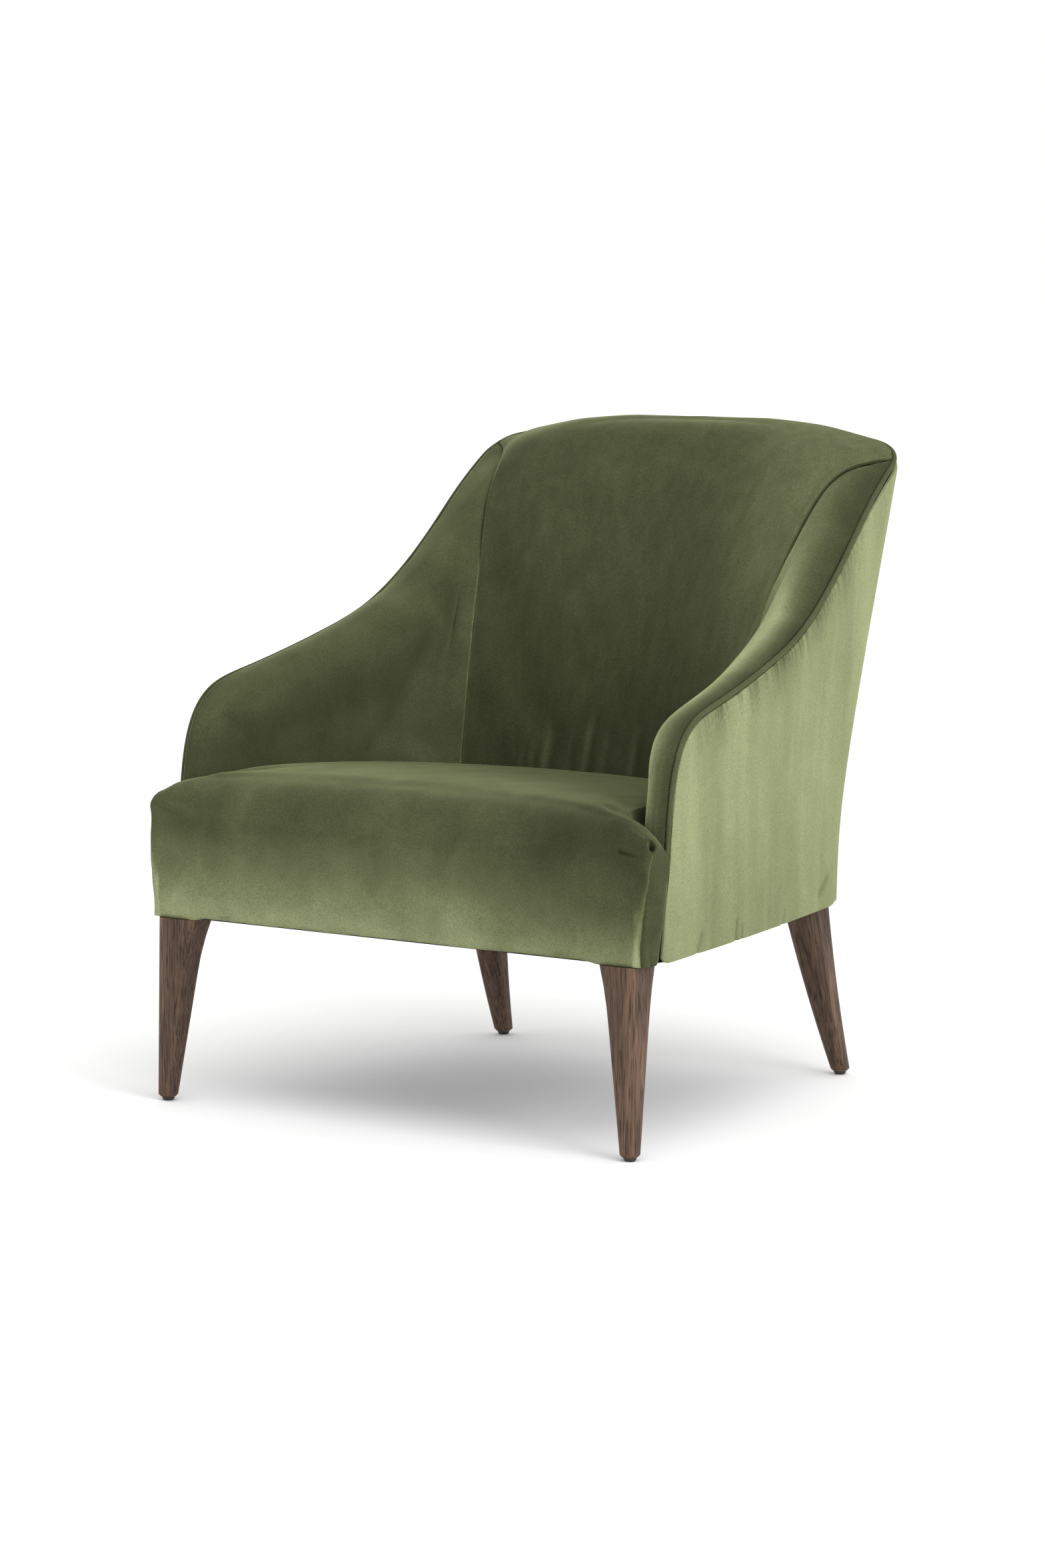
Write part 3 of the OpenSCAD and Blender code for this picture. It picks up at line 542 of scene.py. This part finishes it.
def finder(*names, step=0.003):
    """Finds how far a point is from the edges of the named nodes or pieces, to about step."""
    points = []
    for name in names:
        mesh = CAD[name].data if name in CAD else bpy.data.objects[name].data
        points += [v.co for v in mesh.vertices]
        for edge in mesh.edges:
            first, last = (mesh.vertices[index].co for index in edge.vertices)
            parts = math.ceil((last - first).length / step)
            points += [first.lerp(last, part / parts) for part in range(1, parts)]
    tree = kdtree.KDTree(len(points))
    for index, point in enumerate(points):
        tree.insert(point, index)
    tree.balance()
    return tree


def tuck_in(place, welt):
    """Draws the edge of a cover up against the piping.

    It measures from the place before crown raises it, so behind the crest it draws too little
    and a slit of 2 to 4 mm stays open there."""
    spot, _, away = welt.find(place)
    tip = smooth(0.735, 0.750, place.z) * smooth(0.240, 0.262, abs(place.x))
    return (spot - place) * 0.75 * (1 - smooth(0.002, 0.006 + 0.010 * tip, away))


class ChairSeat(bpy.types.Operator):
    """Adds the seat cover, with a pleat and its puckers at each front corner"""
    bl_idname = "lounge_chair.seat"
    bl_label = "Seat cover"

    # Height and y of the pleat's folded edge, from the hem to the seat's top.
    FOLD = ((0.215, -0.3440), (0.246, -0.3450), (0.276, -0.3449),
            (0.302, -0.3430), (0.328, -0.3377), (0.352, -0.3310))
    DIMPLE = Vector((0.3418, -0.3300, 0.3560))
    PEAK = Vector((0.3420, -0.3380, 0.3560))
    # First end, last end, width and depth.
    CREASES = (
        (Vector((0.3130, -0.3490, 0.3497)), Vector((0.3400, -0.3470, 0.3440)), 0.0026, 0.0034),
        (Vector((0.3210, -0.3494, 0.3374)), Vector((0.3360, -0.3485, 0.3333)), 0.0022, 0.0020),
        (Vector((0.2270, -0.3465, 0.2255)), Vector((0.2560, -0.3465, 0.2275)), 0.0022, 0.0013),
        (Vector((0.2480, -0.3465, 0.2330)), Vector((0.2680, -0.3465, 0.2290)), 0.0020, 0.0010))
    LEFT_ONLY_ABOVE = 0.3

    def creases_on(self, place):
        """The creases on the place's side of the chair."""
        return [crease for crease in self.CREASES
                if place.x > 0 or crease[0].z < self.LEFT_ONLY_ABOVE]

    def creased(self, place):
        """True where the folds and puckers are finer than the mesh."""
        at_pleat = -0.004 < place.y - self.fold_at(place.z) < 0.007 and 0.21 < place.z < 0.37
        if abs(place.x) > 0.332 and at_pleat:
            return True
        return 0.306 < place.x <= 0.340 and place.y < -0.335 and 0.328 < place.z < 0.358

    def fold_at(self, height):
        """Where the pleat's folded edge is at a height, as a y."""
        points = self.FOLD
        for (z0, y0), (z1, y1) in zip(points, points[1:]):
            if height <= z1:
                return y0 + (y1 - y0) * max(0.0, (height - z0) / (z1 - z0))
        return points[-1][1]

    def pleat(self, p, side):
        """Lays the seat's flank under the pleat at the front corner, and turns its rear edge."""
        shift = Vector()
        behind = p.y - self.fold_at(p.z)
        height = 1 - smooth(0.343, 0.356, p.z)
        layer = smooth(-0.0002, 0.0014, behind) * height
        slot = bell(behind - 0.0022, 0.0020)
        rear = smooth(0.010, 0.034, behind)
        shift.x += side * layer * (-0.0036 * (1 - 0.8 * rear) - 0.0022 * slot)
        lip = bell(behind + 0.003, 0.0035) * height * (behind < 0.0006)
        shift += Vector((side * 0.7, -0.7, 0)) * 0.0010 * lip
        ear = bell(p.y + 0.302, 0.020) * bell(p.z - 0.336, 0.022)
        shift.x += side * 0.0034 * ear
        hind = smooth(-0.330, -0.304, p.y)
        shell = smooth(0.3400, 0.3455, p.x)
        back = 0.0105 * bell(p.z - 0.336, 0.024)
        back -= 0.012 * shell * (1 - smooth(0.215, 0.300, p.z))
        back += 0.004 * (1 - shell) * bell(p.z - 0.292, 0.02)
        shift.y += back * hind
        return shift

    def shape(self, place, normal):
        """How each point of the cover moves: unevenness, pleat, dimple, creases and hem."""
        side = 1 if place.x > 0 else -1
        p = Vector((abs(place.x), place.y, place.z))
        shift = normal * (0.0009 * waver(place, 11, 4.0) + 0.0004 * waver(place, 30, 9.0))
        flank = smooth(0.326, 0.334, p.x) * (1 - smooth(-0.292, -0.285, p.y))
        if flank > 0:
            shift += self.pleat(p, side) * flank
        peak = bell((p - self.PEAK).length, 0.016)
        shift += Vector((side * 0.78, -0.42, 0.40)) * 0.0052 * peak
        pit = bell((p - self.DIMPLE).length, 0.0056)
        ring = bell((p - self.DIMPLE).length - 0.0115, 0.0045)
        shift += Vector((-side * 0.62, 0.62, -0.48)) * 0.0150 * pit + normal * 0.0014 * ring
        for first, last, width, depth in self.creases_on(place):
            valley = hump(p, first, last, width) - 0.5 * hump(p, first, last, 2.2 * width)
            shift -= normal * depth * valley
        hem = 1 - smooth(0.2215, 0.250, p.z)
        between_legs = (1 - smooth(0.262, 0.284, p.x)) * (p.y < -0.30)
        shift.z += 0.0036 * hem * between_legs * (0.85 + 0.3 * waver(place, 14, 2.0))
        return shift

    def pile_and_light(self, place, normal):
        """Painted light and shade on the seat: its top darker towards the back and towards +x, its
        front darker on top and paler low down, painted shade on the pleat's flap, in the dimple and
        in the creases, and painted highlights on the fold's edge and the dimple's rim.
        """
        front = smooth(-0.15, -0.9, normal.y) if normal.y < 0 else 0.0
        wave = 0.016 * waver(place, 7, 6.0) + 0.007 * waver(place, 19, 1.0)
        far = smooth(-0.10, -0.33, place.x)
        fall = max(0.0, min(1.0, (0.340 + wave - place.z) / 0.115))
        low = 0.35 + 0.54 * fall + 0.06 * far
        low -= 0.14 * smooth(0.10, 0.27, place.x) * (1 - fall * fall)
        top = -0.08 + 0.54 * smooth(0.06, -0.29, place.y) + 0.06 * smooth(0.1, -0.3, place.x)
        top -= 0.22 * smooth(0.08, 0.31, place.x) + 0.06 * smooth(-0.05, 0.10, place.y)
        top -= 0.24 * smooth(-0.14, 0.04, place.x) * smooth(-0.25, -0.03, place.y)
        low -= 0.09 * smooth(0.12, 0.25, place.x)
        light_and_pile = top + (low - top) * front + 0.10 * waver(place, 13, 8.0) * front
        # Painted shade on the flap behind the pleat's fold, and a painted highlight along the
        # fold's edge
        if abs(place.x) > 0.33 and place.z < 0.345:
            behind = smooth(-0.001, 0.001, place.y - self.fold_at(place.z))
            light_and_pile += (0.26 - light_and_pile) * behind
            light_and_pile += 0.25 * bell(place.y - self.fold_at(place.z) + 0.001, 0.0012)
        p = Vector((abs(place.x), place.y, place.z))
        away = (p - self.DIMPLE).length
        # Painted shade in the dimple's pit, and a painted highlight on its rim behind it
        light_and_pile -= 1.4 * bell(away, 0.0062)
        light_and_pile += 0.2 * bell(away - 0.0095, 0.0020) * (p.y > self.DIMPLE.y)
        # Painted shade in the creases, darker the deeper they are
        for first, last, width, depth in self.creases_on(place):
            light_and_pile -= 150 * depth * hump(p, first, last, 0.7 * width)
        return light_and_pile

    def execute(self, context):
        piece = copy_of("seat_cover", "seat_velvet")
        soften(piece, 1)
        subdivide(piece, 2)
        puff(piece, Vector((0, -0.6, 0.9)), cap=0.0025)
        subdivide(piece, 1)
        refine(piece, self.creased, 2)
        piece.data.attributes.remove(piece.data.attributes["crease_edge"])
        store_pile_and_light(piece, self.pile_and_light)
        move_points(piece, self.shape)
        smooth_faces(piece)
        material = velvet("velvet_seat", sheen=0.45, patches=0.14, streaks=0.03)
        dress(piece, material, "velvet", "seat_cover")
        return {"FINISHED"}


class ChairInside(bpy.types.Operator):
    """Adds the covers of the inside back and inside arms, with gathers where they are tucked"""
    bl_idname = "lounge_chair.inside"
    bl_label = "Inside covers"

    # The x, top, width and depth of each gather at the foot of the back.
    GATHERS = ((-0.118, 0.414, 0.0040, 0.0010), (-0.105, 0.420, 0.0045, 0.0012),
               (-0.088, 0.432, 0.0055, 0.0018), (-0.060, 0.424, 0.0050, 0.0008),
               (-0.036, 0.452, 0.0050, 0.0018), (-0.012, 0.430, 0.0055, 0.0009),
               (0.031, 0.440, 0.0055, 0.0014), (0.074, 0.425, 0.0050, 0.0012),
               (0.112, 0.418, 0.0045, 0.0010))
    GATHERS_TOP = 0.47

    def gathered(self, place, dip, spread):
        """The gathers' relief: each a ridge with a hollow, dip deep and spread wide, beside it."""
        relief = 0.0
        for x, top, width, depth in self.GATHERS:
            rise = (1 - smooth(top - 0.045, top, place.z)) * depth
            drift = x + 0.05 * (place.z - 0.37) * (1 if x > -0.05 else 0.4)
            away = (place.x - drift) / width
            relief += rise * (bell(away, 1) - dip * bell(away - 1.6, spread))
        return relief

    def back_shape(self, place, normal):
        """How each point of the inside back moves."""
        shift = normal * (0.0009 * waver(place, 8, 1.0)) + crown(place)
        if place.z > 0.735 and abs(place.x) > 0.24:
            shift += tuck_in(place, self.welt)
        if place.z < self.GATHERS_TOP and normal.y < 0:
            shift += normal * self.gathered(place, 0.7, 0.9)
        return shift

    def arm_shape(self, place, normal):
        """How each point of an inside arm moves: its roll swells inward, and its edge tucks in."""
        away = self.welt.find(place)[2]
        roll = smooth(0.004, 0.028, away) * (1 - smooth(0.055, 0.110, away))
        roll *= smooth(0.405, 0.460, place.z) * (1 - smooth(0.10, 0.20, place.y))
        swell = (0.0058 + 0.0038 * bell(place.y, 0.09)) * roll
        inward = Vector((-0.95 if place.x > 0 else 0.95, 0, 0.3))
        shift = normal * (0.0008 * waver(place, 9, 12.0)) + inward * swell
        return shift + tuck_in(place, self.welt) + crown(place)

    def back_pile_and_light(self, place, normal):
        """Painted light and shade on the inside back: paler above and towards +x, painted
        highlights on the gathers' ridges with painted shade in their hollows, and a painted
        highlight along the seam on the sitter's right.
        """
        high = smooth(0.765, 0.79, place.z)
        light_and_pile = 0.20 + 0.11 * smooth(0.38, 0.75, place.z)
        light_and_pile += 0.15 * smooth(0.04, 0.2, place.x) * (1 - high) + 0.13 * high
        light_and_pile += 0.12 * smooth(0.12, 0.23, place.x) * bell(place.z - 0.56, 0.10)
        light_and_pile += 0.05 * smooth(0.06, 0.18, place.x) - 0.04 * smooth(0.0, -0.2, place.x)
        # Painted highlights on the gathers' ridges and painted shade in their hollows
        if place.z < self.GATHERS_TOP:
            light_and_pile += 100 * self.gathered(place, 0.8, 0.8)
        # A painted highlight along the seam with the inside arm on the sitter's right
        if place.x < 0:
            light_and_pile += 0.16 * bell(self.arms.find(place)[2], 0.0022)
        return light_and_pile

    def arm_pile_and_light(self, place, normal):
        """Painted light and shade on an inside arm: on the sitter's right nearly even, with painted
        shade low at the front and by the piping and a painted highlight along the seam; on the left
        a painted highlight on the roll, shaded by the piping and at the front.
        """
        away = self.welt.find(place)[2]
        wing = smooth(0.04, 0.20, place.y)
        if place.x < 0:
            low = (1 - smooth(-0.22, -0.06, place.y)) * (1 - smooth(0.42, 0.50, place.z))
            seam = bell(self.back.find(place)[2], 0.0018)
            light_and_pile = 0.38 - 0.08 * low + 0.10 * waver(place, 16, 5.0)
            # Painted shade beside the piping, and a painted highlight along the seam with the back
            light_and_pile -= 0.12 * (1 - smooth(0.002, 0.014, away))
            return light_and_pile + 0.40 * seam
        # On the sitter's left, a painted highlight on the roll's crest, shaded beside the piping
        # and at the front
        width = 0.027 + 0.059 * wing
        crest = 1.08 - 0.10 * smooth(-0.22, -0.10, place.y) - 0.12 * smooth(0.57, 0.74, place.z)
        front = (1 - smooth(-0.26, -0.15, place.y)) * (1 - smooth(0.020, 0.034, away))
        rise = smooth(0.002, width, away)
        inner = smooth(0.050, 0.085, away) * (1 - wing)
        light_and_pile = 0.20 + (crest - 0.20) * rise - 0.26 * front * rise
        return light_and_pile + (0.40 - light_and_pile) * inner + 0.05 * waver(place, 14, 5.0)

    def execute(self, context):
        self.welt = finder("welt_velvet")
        self.arms = finder("inside_arm_left", "inside_arm_right")
        self.back = finder("inside_back")
        sitter = Vector((0, -0.1, 1.1))
        material = velvet("velvet_inside_back", sheen=0.45, patches=0.06, streaks=0.10, fine=60.0)
        piece = copy_of("inside_back", "inside_back_velvet", sitter=sitter)
        soften(piece, 1)
        subdivide(piece, 2)
        puff(piece, sitter)
        subdivide(piece, 2)
        store_pile_and_light(piece, self.back_pile_and_light)
        move_points(piece, self.back_shape)
        smooth_faces(piece)
        dress(piece, material, "velvet", "inside_back")
        material = velvet("velvet_inside_arm", sheen=0.45, patches=0.12, streaks=0.03)
        for side in ("left", "right"):
            piece = copy_of("inside_arm_" + side, "inside_arm_velvet_" + side, sitter=sitter)
            soften(piece, 2)
            subdivide(piece, 2)
            soften(piece, 40, hollows=True)
            puff(piece, sitter)
            subdivide(piece, 1)
            refine(piece, lambda c: c.x < 0 and self.back.find(c)[2] < 0.005, 1)
            store_pile_and_light(piece, self.arm_pile_and_light)
            move_points(piece, self.arm_shape)
            smooth_faces(piece)
            dress(piece, material, "velvet", "inside_arm_" + side)
        return {"FINISHED"}


class ChairOutside(bpy.types.Operator):
    """Adds the outside panels, with the puckers that pull from the piping"""
    bl_idname = "lounge_chair.outside"
    bl_label = "Outside panels"

    # The y and z of each hem fold's ends, its width and its depth.
    FOLDS = ((Vector((0.150, 0.241)), Vector((0.176, 0.2560)), 0.0050, 0.0011),
             (Vector((-0.110, 0.218)), Vector((-0.106, 0.242)), 0.0042, 0.0012),
             (Vector((-0.094, 0.218)), Vector((-0.091, 0.234)), 0.0040, 0.0009),
             (Vector((-0.216, 0.218)), Vector((-0.203, 0.240)), 0.0050, 0.0010),
             (Vector((0.030, 0.218)), Vector((0.036, 0.234)), 0.0042, 0.0007))
    FOLDS_TOP = 0.275

    def fold(self, place):
        """How deep the panel folds in beside its hem."""
        if place.z > self.FOLDS_TOP or abs(place.x) < 0.25:
            return 0.0
        spot = Vector((place.y, place.z))
        return max(depth * hump(spot, first, last, width)
                   for first, last, width, depth in self.FOLDS)

    def lay(self, place):
        """Distance from the piping, place along it, and how tightly the cloth is gathered there."""
        away = self.welt.find(place)[2]
        along = 0.85 * place.y + 0.35 * place.z
        if abs(place.x) < 0.24 and place.y > 0.2:
            along = place.x
        tight = smooth(-0.27, -0.14, place.y) * (1 - 0.8 * smooth(0.56, 0.68, place.z))
        return away, along, tight

    def pucker(self, away, along, tight):
        """A narrow valley, 1 at its deepest, that runs off the piping."""
        sway = streaked(along * 105, 0.0, 0.3)
        reach = 0.007 + 0.010 * (1 + streaked(along * 40, 0.0, 7.7))
        return max(0.0, 1 - abs(sway) / 0.20) * math.exp(-away / reach) * tight

    def across(self, place, normal):
        """Place across the panel, to either side of which it has upright streaks."""
        return place.y + 0.12 * place.z if abs(normal.x) > 0.5 else place.x

    def shape(self, place, normal):
        """How each point of a panel moves: puckers, slack, hem folds, and the hem over a leg."""
        away, along, tight = self.lay(place)
        free = smooth(0.002, 0.008, away)
        line = self.across(place, normal)
        mid = streaked(line * 36, place.z * 3, 5.3)
        slow = streaked(line * 15, place.z * 2, 9.1)
        depth = 0.0016 * mid * math.exp(-away / 0.045) * tight
        depth -= settings().pucker_depth * self.pucker(away, along, tight)
        depth += 0.0010 * slow * math.exp(-away / 0.30)
        depth -= self.fold(place)
        front = max(0.0, 1 - math.hypot(place.y + 0.3053, place.z - HEM_HEIGHT) / 0.018) ** 2
        rear = bell(place.y - 0.212, 0.013) * (1 - smooth(0.220, 0.238, place.z))
        hem = Vector((0, 0, 0.007 * front + 0.004 * rear * (place.x ** 2 > 0.06)))
        return normal * depth * free + tuck_in(place, self.welt) + crown(place) + hem

    def pile_and_light(self, place, normal):
        """Painted light and shade on a panel: pale where the light falls, with streaks of pile
        tone, painted shade in puckers, hem folds and against the piping, and darker towards the
        hem.
        """
        away, along, tight = self.lay(place)
        line = self.across(place, normal)
        streak = streaked(line * 30, place.z * 2.5, 2.2)
        broad = streaked(line * 9, place.z * 2.0, 4.4)
        near = math.exp(-away / 0.022)
        # Pale all over where the light falls on the panel, with painted shade by the piping, in
        # puckers and in hem folds
        light_and_pile = 0.92 + 0.06 * streak + 0.07 * broad - 0.14 * near * tight
        light_and_pile -= 0.42 * self.pucker(away, along, tight) - 0.25 * streak * near * tight
        light_and_pile -= 0.50 * (1 - smooth(0.0014, 0.0042, away)) + 130 * self.fold(place)
        return light_and_pile - 0.07 * (1 - smooth(0.24, 0.40, place.z))

    def fine(self, place):
        """True where the puckers and hem folds are finer than the mesh."""
        by_piping = abs(place.x) > 0.2 and self.welt.find(place)[2] < 0.012
        return by_piping or self.fold(place) > 0.0003

    def execute(self, context):
        self.welt = finder("welt_velvet")
        material = velvet("velvet_outside", sheen=0.5, patches=0.05, streaks=0.06, fine=45.0)
        for node in ("outside_arm_left", "outside_arm_right", "outside_back"):
            piece = copy_of(node, node + "_velvet")
            subdivide(piece, 4)
            refine(piece, self.fine, 1)
            store_pile_and_light(piece, self.pile_and_light)
            move_points(piece, self.shape)
            smooth_faces(piece)
            dress(piece, material, "velvet", node)
        return {"FINISHED"}


class ChairPiping(bpy.types.Operator):
    """Adds the covered piping round the shell"""
    bl_idname = "lounge_chair.piping"
    bl_label = "Piping"

    def execute(self, context):
        piece = copy_of("welt_cord", "welt_velvet")
        subdivide(piece, 2)
        smooth_faces(piece)
        covers = finder("inside_arm_left", "inside_arm_right",
                        "outside_arm_left", "outside_arm_right", "outside_back")
        thinner = 0.0007

        # Painted shade where the piping meets the covers, and a painted highlight on its crest
        def pile_and_light(place, normal):
            return 0.40 * smooth(0.0016, 0.0042, covers.find(place)[2])

        store_pile_and_light(piece, pile_and_light)
        move_points(piece, lambda place, normal: crown(place) - normal * thinner)
        material = velvet("velvet_piping", sheen=0.4, patches=0.1, streaks=0.0)
        dress(piece, material, "velvet", "welt_cord")
        return {"FINISHED"}


class ChairPadding(bpy.types.Operator):
    """Adds the foam, felt and webbing under the covers"""
    bl_idname = "lounge_chair.padding"
    bl_label = "Padding"

    def execute(self, context):
        foam = open_cell_foam("foam_cut", (0.72, 0.68, 0.52))
        felt = woven("felt_pressed", (0.42, 0.41, 0.39), 0.0011)
        webbing = woven("webbing_jute", (0.42, 0.31, 0.18), 0.0016)
        foams = [(node, foam, "foam")
                 for node in ("seat_foam", "back_foam", "arm_foam_left", "arm_foam_right")]
        others = [("deck_pad", felt, "felt"), ("back_webbing", webbing, "webbing")]
        for node, material, slot in foams + others:
            piece = copy_of(node, node + "_soft")
            subdivide(piece, 1)
            smooth_faces(piece)
            dress(piece, material, slot, node)
        return {"FINISHED"}


class ChairFrame(bpy.types.Operator):
    """Gives the frame, springs, legs and fixings their finishes"""
    bl_idname = "lounge_chair.frame"
    bl_label = "Frame and legs"

    def execute(self, context):
        sawn = (0.52, 0.36, 0.21)
        beech = raw_wood("beech_sawn", sawn, ALONG_Z)
        beech_x = raw_wood("beech_sawn_cross", sawn, ALONG_X)
        beech_y = raw_wood("beech_sawn_side", sawn, ALONG_Y)
        ply = raw_wood("plywood_panel", (0.58, 0.44, 0.28), (1.0, 0.3, 0.3))
        steel = drawn_steel("steel_drawn")
        walnut_front = walnut("walnut_stained_front")
        walnut_rear = walnut("walnut_stained_rear", -math.atan2(REAR_LEG_SWEEP, HEM_HEIGHT))
        for node in CAD:
            if node.startswith("leg_") and node != "leg_glides":
                repaint(node, walnut_rear if "rear" in node else walnut_front)
            elif node == "leg_glides":
                repaint(node, moulded("glide_nylon", (0.02, 0.018, 0.016)))
            elif node in ("front_rail", "rear_rail", "crest_rail", "lower_back_rail"):
                repaint(node, beech_x)
            elif node.startswith("side_rail"):
                repaint(node, beech_y)
            elif node.startswith(("arm_post", "back_post", "corner_blocks")):
                repaint(node, beech)
            elif node.startswith(("arm_panel", "arm_liner")):
                repaint(node, ply)
            elif node in ("hanger_bolts", "frame_screws",
                          "seat_springs", "spring_clips", "spring_ties"):
                repaint(node, steel)
        return {"FINISHED"}


class ChairDustCover(bpy.types.Operator):
    """Adds the lining cloth stapled under the frame"""
    bl_idname = "lounge_chair.dust_cover"
    bl_label = "Dust cover"

    def execute(self, context):
        piece = copy_of("dust_cover", "dust_cover_cloth")
        bpy.ops.object.mode_set(mode="EDIT")
        cuts = 12
        for axis, reach in ((0, 0.30), (1, 0.33)):
            ahead = [float(n == axis) for n in range(3)]
            for line in range(-cuts, cuts + 1):
                spot = [reach * line / cuts * part for part in ahead]
                bpy.ops.mesh.select_all(action="SELECT")
                bpy.ops.mesh.bisect(plane_co=spot, plane_no=ahead)
        bpy.ops.object.mode_set(mode="OBJECT")

        deepest, half_width, half_depth = 0.004, 0.24, 0.26

        def sag(place, normal):
            middle = max(0.0, 1 - (place.x / half_width) ** 2)
            middle *= max(0.0, 1 - (place.y / half_depth) ** 2)
            return Vector((0, 0, -deepest * middle + 0.0005 * middle * waver(place, 12, 3.0)))

        move_points(piece, sag)
        smooth_faces(piece)
        dress(piece, woven("lining_black", (0.018, 0.018, 0.019), 0.0009), "lining", "dust_cover")
        return {"FINISHED"}


class ChairStudio(bpy.types.Operator):
    """Adds the floor, backdrop, lamps and camera"""
    bl_idname = "lounge_chair.studio"
    bl_label = "Studio"

    def execute(self, context):
        bpy.ops.object.select_all(action="DESELECT")
        bpy.ops.mesh.primitive_plane_add(size=40, location=(0, 0, -0.0005))
        floor = context.object
        floor.name = "studio_floor"
        made = Nodes("studio_floor_paint")
        grain = made.noise(3.0)
        tone = Vector(settings().floor_color)
        made.set(Base_Color=made.ramp(grain, (0.3, tone * 0.99), (0.7, tone)), Roughness=0.9)
        floor.data.materials.append(made.material)

        def lamp(name, kind, power, place, shines):
            light = bpy.data.lights.new(name, kind)
            light.energy = power
            thing = bpy.data.objects.new(name, light)
            context.scene.collection.objects.link(thing)
            thing.location = place
            thing.rotation_euler = Vector(shines).to_track_quat("-Z", "Y").to_euler()
            return light

        key = lamp("key_lamp", "AREA", 60, (3.6, -1.2, 2.0), (-3.6, 1.2, -1.6))
        key.size = 2.0
        sun = lamp("sun_lamp", "SUN", 0.7, (0, 0, 0), (-0.35, 0.3, -1))
        sun.angle = math.radians(40)

        world = context.scene.world or bpy.data.worlds.new("Studio")
        context.scene.world = world
        world.use_nodes = True
        tree = world.node_tree
        tree.nodes.clear()
        output = tree.nodes.new("ShaderNodeOutputWorld")
        white = tree.nodes.new("ShaderNodeBackground")
        white.inputs["Color"].default_value = (1, 1, 1, 1)
        white.inputs["Strength"].default_value = 1.0
        tree.links.new(white.outputs["Background"], output.inputs["Surface"])
        context.scene.view_settings.view_transform = "Standard"

        level = Vector((-math.sin(CAMERA_SWING), math.cos(CAMERA_SWING), 0))
        ahead = level * math.cos(CAMERA_PITCH) - Vector((0, 0, math.sin(CAMERA_PITCH)))
        right = Vector((math.cos(CAMERA_SWING), math.sin(CAMERA_SWING), 0))
        up = right.cross(ahead)
        side = right * math.cos(CAMERA_ROLL) + up * math.sin(CAMERA_ROLL)
        above = up * math.cos(CAMERA_ROLL) - right * math.sin(CAMERA_ROLL)
        lens = bpy.data.cameras.new("photo_camera")
        lens.sensor_width = CAMERA_SENSOR_MM
        lens.lens = CAMERA_LENS_MM
        lens.clip_end = 100
        camera = bpy.data.objects.new("photo_camera", lens)
        context.scene.collection.objects.link(camera)
        turn = Matrix((side, above, -ahead)).transposed()
        camera.matrix_world = Matrix.Translation(CAMERA_PLACE) @ turn.to_4x4()
        context.scene.camera = camera
        return {"FINISHED"}


class ChairPanel(bpy.types.Panel):
    """Lists the chair's pieces in the sidebar"""
    bl_idname = "VIEW3D_PT_lounge_chair"
    bl_label = "Lounge Chair"
    bl_space_type = "VIEW_3D"
    bl_region_type = "UI"
    bl_category = "Lounge Chair"

    def draw(self, context):
        chair = context.scene.lounge_chair
        for name in ("velvet_color", "sheen_color", "wood_color", "pucker_depth", "floor_color"):
            self.layout.prop(chair, name)
        for piece in PIECES:
            self.layout.operator(piece.bl_idname)


PIECES = (ChairPiping, ChairSeat, ChairInside, ChairOutside,
          ChairPadding, ChairFrame, ChairDustCover, ChairStudio)


def register():
    for made in (LoungeChairSettings, *PIECES, ChairPanel):
        bpy.utils.register_class(made)
    bpy.types.Scene.lounge_chair = bpy.props.PointerProperty(type=LoungeChairSettings)


def unregister():
    del bpy.types.Scene.lounge_chair
    for made in reversed((LoungeChairSettings, *PIECES, ChairPanel)):
        bpy.utils.unregister_class(made)


def build():
    register()
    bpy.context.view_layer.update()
    bpy.ops.object.select_all(action="DESELECT")
    bpy.ops.lounge_chair.piping()
    bpy.ops.lounge_chair.seat()
    bpy.ops.lounge_chair.inside()
    bpy.ops.lounge_chair.outside()
    bpy.ops.lounge_chair.padding()
    bpy.ops.lounge_chair.frame()
    bpy.ops.lounge_chair.dust_cover()
    bpy.ops.lounge_chair.studio()


if __name__ == "__main__":
    build()
